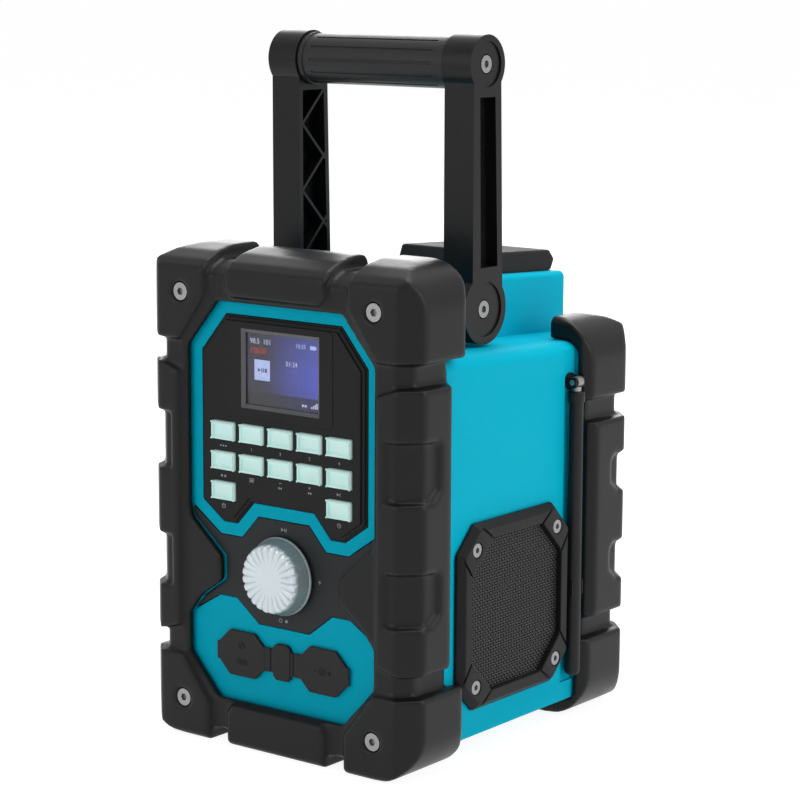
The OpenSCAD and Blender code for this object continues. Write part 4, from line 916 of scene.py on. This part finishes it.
printed("right_cover_signs", COVER_FACE, "port_cover_right", "cover_rubber", relief_paint,
        [hoop(COVER_X, COVER_Z, 2.1, 1.5), dab(COVER_X, COVER_Z, 1.2, 1.2, 0.4),
         dab(COVER_X - 5, COVER_Z, 2.4, 0.5), dab(COVER_X + 5, COVER_Z, 2.4, 0.5),
         dab(COVER_X + 5, COVER_Z, 0.5, 2.4)], thick=SIGN_T)


# ---- Speakers ----
# On each side a screwed-on octagonal frame of black plastic with a woven wire mesh pressed into
# it; behind are a pulp cone on a rubber surround and a pressed steel basket.
frame_paint = moulded("frame_plastic", (0.011, 0.011, 0.0114), 0.4, size=1200.0, depth=0.025,
                      mottle=0.2, gloss=0.14)
for node in ("speaker_frame_left", "speaker_frame_right"):
    eased(node, 1.0, frame_paint)

WIRE_PITCH, WIRE_W, WIRE_T, WIRE_BEND = 1.5, 0.48, 0.384, 0.25
MESH_HALF, MESH_CHAMFER = 40.6, 17.9
SPEAKER_Y, SPEAKER_Z, MESH_X = -4.35, 77.0, 84.8
wire_shapes = {}


def beside(flat, name, x, turn):
    """A copy of a flat piece, turned to the side at x, round the speaker's middle."""
    piece = new_piece(name, flat.data.copy())
    piece.data.transform(Matrix.Translation((x * mm, SPEAKER_Y * mm, SPEAKER_Z * mm))
                         @ Matrix.Rotation(pi / 2, 4, "Y"))
    only(piece)
    bpy.ops.object.shade_smooth_by_angle(angle=radians(turn))
    return piece


def straight_wire(count):
    """A square wire over `count` crossings, with an edge loop at and between them."""
    if count not in wire_shapes:
        bpy.ops.mesh.primitive_grid_add(x_subdivisions=2 * count, y_subdivisions=1, size=1,
                                        location=(0, 0, -WIRE_T / 2 * mm))
        wire = bpy.context.object
        wire.scale = (count * WIRE_PITCH * mm, WIRE_W * mm, 1)
        settle()
        edit(wire)
        bpy.ops.mesh.select_all(action="SELECT")
        drawn_out(0, 0, WIRE_T)
        done(wire)
        wire_shapes[count] = wire.data
        bpy.data.objects.remove(wire)
    return wire_shapes[count].copy()


def laid_wires(first_bend):
    """Wires side by side across the opening, each bent over and under at its crossings."""
    rows = []
    side_count = int(MESH_HALF / WIRE_PITCH)
    for row in range(-side_count, side_count + 1):
        half = min(MESH_HALF, 2 * MESH_HALF - MESH_CHAMFER - abs(row) * WIRE_PITCH)
        wire = new_piece("wire", straight_wire(2 * int(half / WIRE_PITCH)))
        for corner in wire.data.vertices:
            step = round(2 * corner.co.x / mm / WIRE_PITCH)
            if step % 2 == 0:
                bend = first_bend if (step // 2 + row) % 2 else -first_bend
                corner.co.z += bend * WIRE_BEND * mm
            corner.co.y += row * WIRE_PITCH * mm
        rows.append(wire)
    return rows


woven = joined(laid_wires(1))
weft = joined(laid_wires(-1))
weft.data.transform(Matrix.Rotation(pi / 2, 4, "Z"))
woven = joined([woven, weft])
for shape in wire_shapes.values():
    bpy.data.meshes.remove(shape)
mesh_paint = moulded("black_wire", (0.045, 0.045, 0.047), 0.4, size=2500.0, depth=0.004,
                     mottle=0.2, gloss=0.5, metal=0.3)
for side, sign in (("left", -1), ("right", 1)):
    node = "speaker_mesh_" + side
    fitted(beside(woven, node + "_weave", sign * MESH_X, 50), "housing", "mesh", mesh_paint, node)
bpy.data.objects.remove(woven)

# A flat black sheet with a round hole, between the mesh and the cone's edge, hides the wall
# and the opening in the housing.
BAFFLE_HOLE = 31.0
BAFFLE_HALF, BAFFLE_CHAMFER = 38.8, 16.9
BAFFLE_X = (83.25, 84.05)
baffle_paint = moulded("baffle_board", (0.010, 0.010, 0.0105), 0.8, size=700.0, depth=0.05,
                       mottle=0.4, gloss=0.1)
bpy.ops.mesh.primitive_circle_add(vertices=96, radius=BAFFLE_HOLE * mm, fill_type="NOTHING")
baffle = bpy.context.object
edit(baffle)
bpy.ops.mesh.select_all(action="SELECT")
drawn_out(0, 0, 0)
bpy.ops.transform.resize(value=(1.2, 1.2, 1))
bpy.ops.object.mode_set(mode="OBJECT")
# The outer circle is pushed out to the octagon's edge.
for corner in baffle.data.vertices:
    if corner.co.length > (BAFFLE_HOLE + 1) * mm:
        flat = max(abs(corner.co.x), abs(corner.co.y)) / BAFFLE_HALF
        slant = (abs(corner.co.x) + abs(corner.co.y)) / (2 * BAFFLE_HALF - BAFFLE_CHAMFER)
        corner.co *= mm / max(flat, slant)
edit(baffle)
bpy.ops.mesh.select_all(action="SELECT")
drawn_out(0, 0, BAFFLE_X[1] - BAFFLE_X[0])
done(baffle)
for side, start in (("left", -BAFFLE_X[1]), ("right", BAFFLE_X[0])):
    fitted(beside(baffle, "speaker_baffle_" + side, start, 40), "housing", "trim_plastic",
           baffle_paint)
bpy.data.objects.remove(baffle)

cone_paint = moulded("paper_pulp", (0.012, 0.012, 0.013), 0.85, size=700.0, depth=0.06,
                     mottle=0.5, gloss=0.15)
basket_paint = metal_paint("blackened_steel", (0.05, 0.05, 0.053), 0.45, streak=0.4)
for side in ("left", "right"):
    softened("speaker_cone_" + side, 0.5, cone_paint)
    recoat("speaker_basket_" + side, basket_paint)

# ---- Handle ----
# Two glass-filled nylon arms, recessed and ribbed between their round ends, turn on bolts on
# the tower. An aluminium tube joins them, under a rubber grip sleeve with a ring at each end.
arm_paint = moulded("arm_nylon", (0.008, 0.008, 0.0082), 0.3, size=1300.0, depth=0.02,
                    mottle=0.15, gloss=0.2)
for node in ("handle_arm_left", "handle_arm_right"):
    softened(node, 0.9, arm_paint)
grip_paint = moulded("grip_rubber", (0.018, 0.018, 0.0182), 0.4, size=950.0, depth=0.04,
                     mottle=0.25, gloss=0.25)
eased("grip_sleeve", 0.5, grip_paint)
recoat("grip_tube", metal_paint("drawn_tube", (0.7, 0.7, 0.71), 0.3))

# ---- Antenna ----
# A rubber-coated whip that folds down along the side, thicker towards its rounded tip, in a
# plated fork on a small disc, with a pin through the joint and a two-armed clip lower down.
whip_paint = moulded("whip_rubber", (0.013, 0.013, 0.0133), 0.42, size=1500.0, depth=0.01,
                     mottle=0.2, gloss=0.2)
ROD_X, ROD_Y = 86.5 * mm, 51.45 * mm
# height above the ground and radius, from the tip to the collar under the joint
ROD_RINGS = ((26.52, 1.6), (26.9, 2.9), (27.8, 3.9), (29.2, 4.25), (32, 4.3), (179.4, 3.8),
             (179.5, 4.3), (179.9, 4.5), (184.6, 4.5), (185.2, 4.2), (185.48, 3.6))
bpy.ops.mesh.primitive_circle_add(vertices=40, radius=ROD_RINGS[0][1] * mm, fill_type="NGON",
                                  location=(ROD_X, ROD_Y, ROD_RINGS[0][0] * mm))
rod = bpy.context.object
rod.name = "antenna_whip"
settle()
edit(rod)
bpy.ops.mesh.select_all(action="SELECT")
bpy.ops.mesh.select_mode(type="EDGE")
pick(rod, "EDGE", lambda m, e: True)
bpy.ops.mesh.inset(thickness=0.8 * mm)
pick(rod, "EDGE", lambda m, e: e.is_boundary)
last = ROD_RINGS[0]
for ring in ROD_RINGS[1:]:
    drawn_out(0, 0, ring[0] - last[0])
    bpy.ops.transform.resize(value=(ring[1] / last[1], ring[1] / last[1], 1),
                             center_override=(ROD_X, ROD_Y, ring[0] * mm))
    last = ring
bpy.ops.mesh.edge_face_add()
done(rod)
shaded(rod, 35)
fitted(rod, body_of["antenna_rod"], slot_of["antenna_rod"], whip_paint, "antenna_rod")
softened("antenna_knuckle", 0.6, steel_paint, steps=3)
softened("antenna_pin", 0.3, steel_paint)
for node in ("antenna_base", "antenna_clip"):
    softened(node, 0.4, frame_paint)

# ---- Battery pack ----
# A slide-in tool battery in black plastic that stands in the tower's well, its head proud of
# the roof, with a release button at the back and two rows of cells inside.
pack_paint = moulded("pack_plastic", (0.024, 0.024, 0.0245), 0.6, size=900.0, depth=0.035,
                      mottle=0.25, gloss=0.08)
eased("battery_case", 1.2, pack_paint)
button_paint = moulded("button_plastic", (0.42, 0.012, 0.01), 0.4, size=1200.0, depth=0.01,
                       mottle=0.1)
softened("battery_button", 0.6, button_paint)
cell_paint = moulded("cell_sleeve", (0.03, 0.13, 0.07), 0.35, size=700.0, depth=0.006,
                     mottle=0.15, gloss=0.45)
softened("battery_cells", 0.7, cell_paint)

# ---- Rear cover ----
# A flat screwed-on lid in black plastic on the tower's back, over the joint of the wiring.
softened("rear_cover", 0.8, panel_paint)

# ---- Boards, sockets and encoder ----
# What sits inside: green glass-fibre boards with copper tracks under the lacquer, a plain
# black encoder with its steel shaft, plated sockets and brass battery terminals.
# Tracks: thin lines that run round scattered points in nested squares.
tracks, given, result = new_group("board_tracks", (("Lacquer", "c"), ("Track", "c"),
                                                   ("Pitch", "f")),
                                  (("Colour", "c"), ("Height", "f")))
spot = object_spot(tracks)
runs = place(tracks, "ShaderNodeTexVoronoi", {"Vector": spot, "Scale": given.outputs["Pitch"]},
             distance="CHEBYCHEV")
TRACK_GAP = 0.16
lines = place(tracks, "ShaderNodeMath", {0: runs.outputs["Distance"], 1: TRACK_GAP},
              operation="PINGPONG")
edge = place(tracks, "ShaderNodeMath", {0: lines.outputs[0], 1: TRACK_GAP / 2},
             operation="GREATER_THAN")
colour = place(tracks, "ShaderNodeMix", {0: edge.outputs[0], 6: given.outputs["Lacquer"],
                                         7: given.outputs["Track"]}, data_type="RGBA")
tracks.links.new(colour.outputs[2], result.inputs["Colour"])
tracks.links.new(edge.outputs[0], result.inputs["Height"])
board_paint = moulded("board_lacquer", (0.01, 0.1, 0.035), 0.32, size=900.0, depth=0.005,
                      gloss=0.5)
tree = board_paint.node_tree
shader = tree.nodes["Principled BSDF"]
lay = place(tree, "ShaderNodeGroup", {"Lacquer": (0.008, 0.09, 0.03, 1),
                                      "Track": (0.02, 0.17, 0.06, 1), "Pitch": 160.0},
            node_tree=tracks)
tree.links.new(lay.outputs["Colour"], shader.inputs["Base Color"])
bump = place(tree, "ShaderNodeBump", {"Strength": 0.5, "Distance": 0.03 * mm,
                                      "Height": lay.outputs["Height"]})
tree.links.new(bump.outputs[0], shader.inputs["Normal"])
for node in ("key_board", "main_board"):
    recoat(node, board_paint)
encoder_paint = moulded("encoder_plastic", (0.03, 0.03, 0.032), 0.45)
for node in ("encoder_body", "encoder_plunger"):
    recoat(node, encoder_paint)
recoat("encoder_shaft", steel_paint)
socket_paint = metal_paint("tinned_shell", (0.55, 0.56, 0.57), 0.32)
for node in ("usb_socket", "aux_socket", "dc_socket"):
    recoat(node, socket_paint)
recoat("battery_terminals", metal_paint("brass_blades", (0.8, 0.62, 0.3), 0.28))
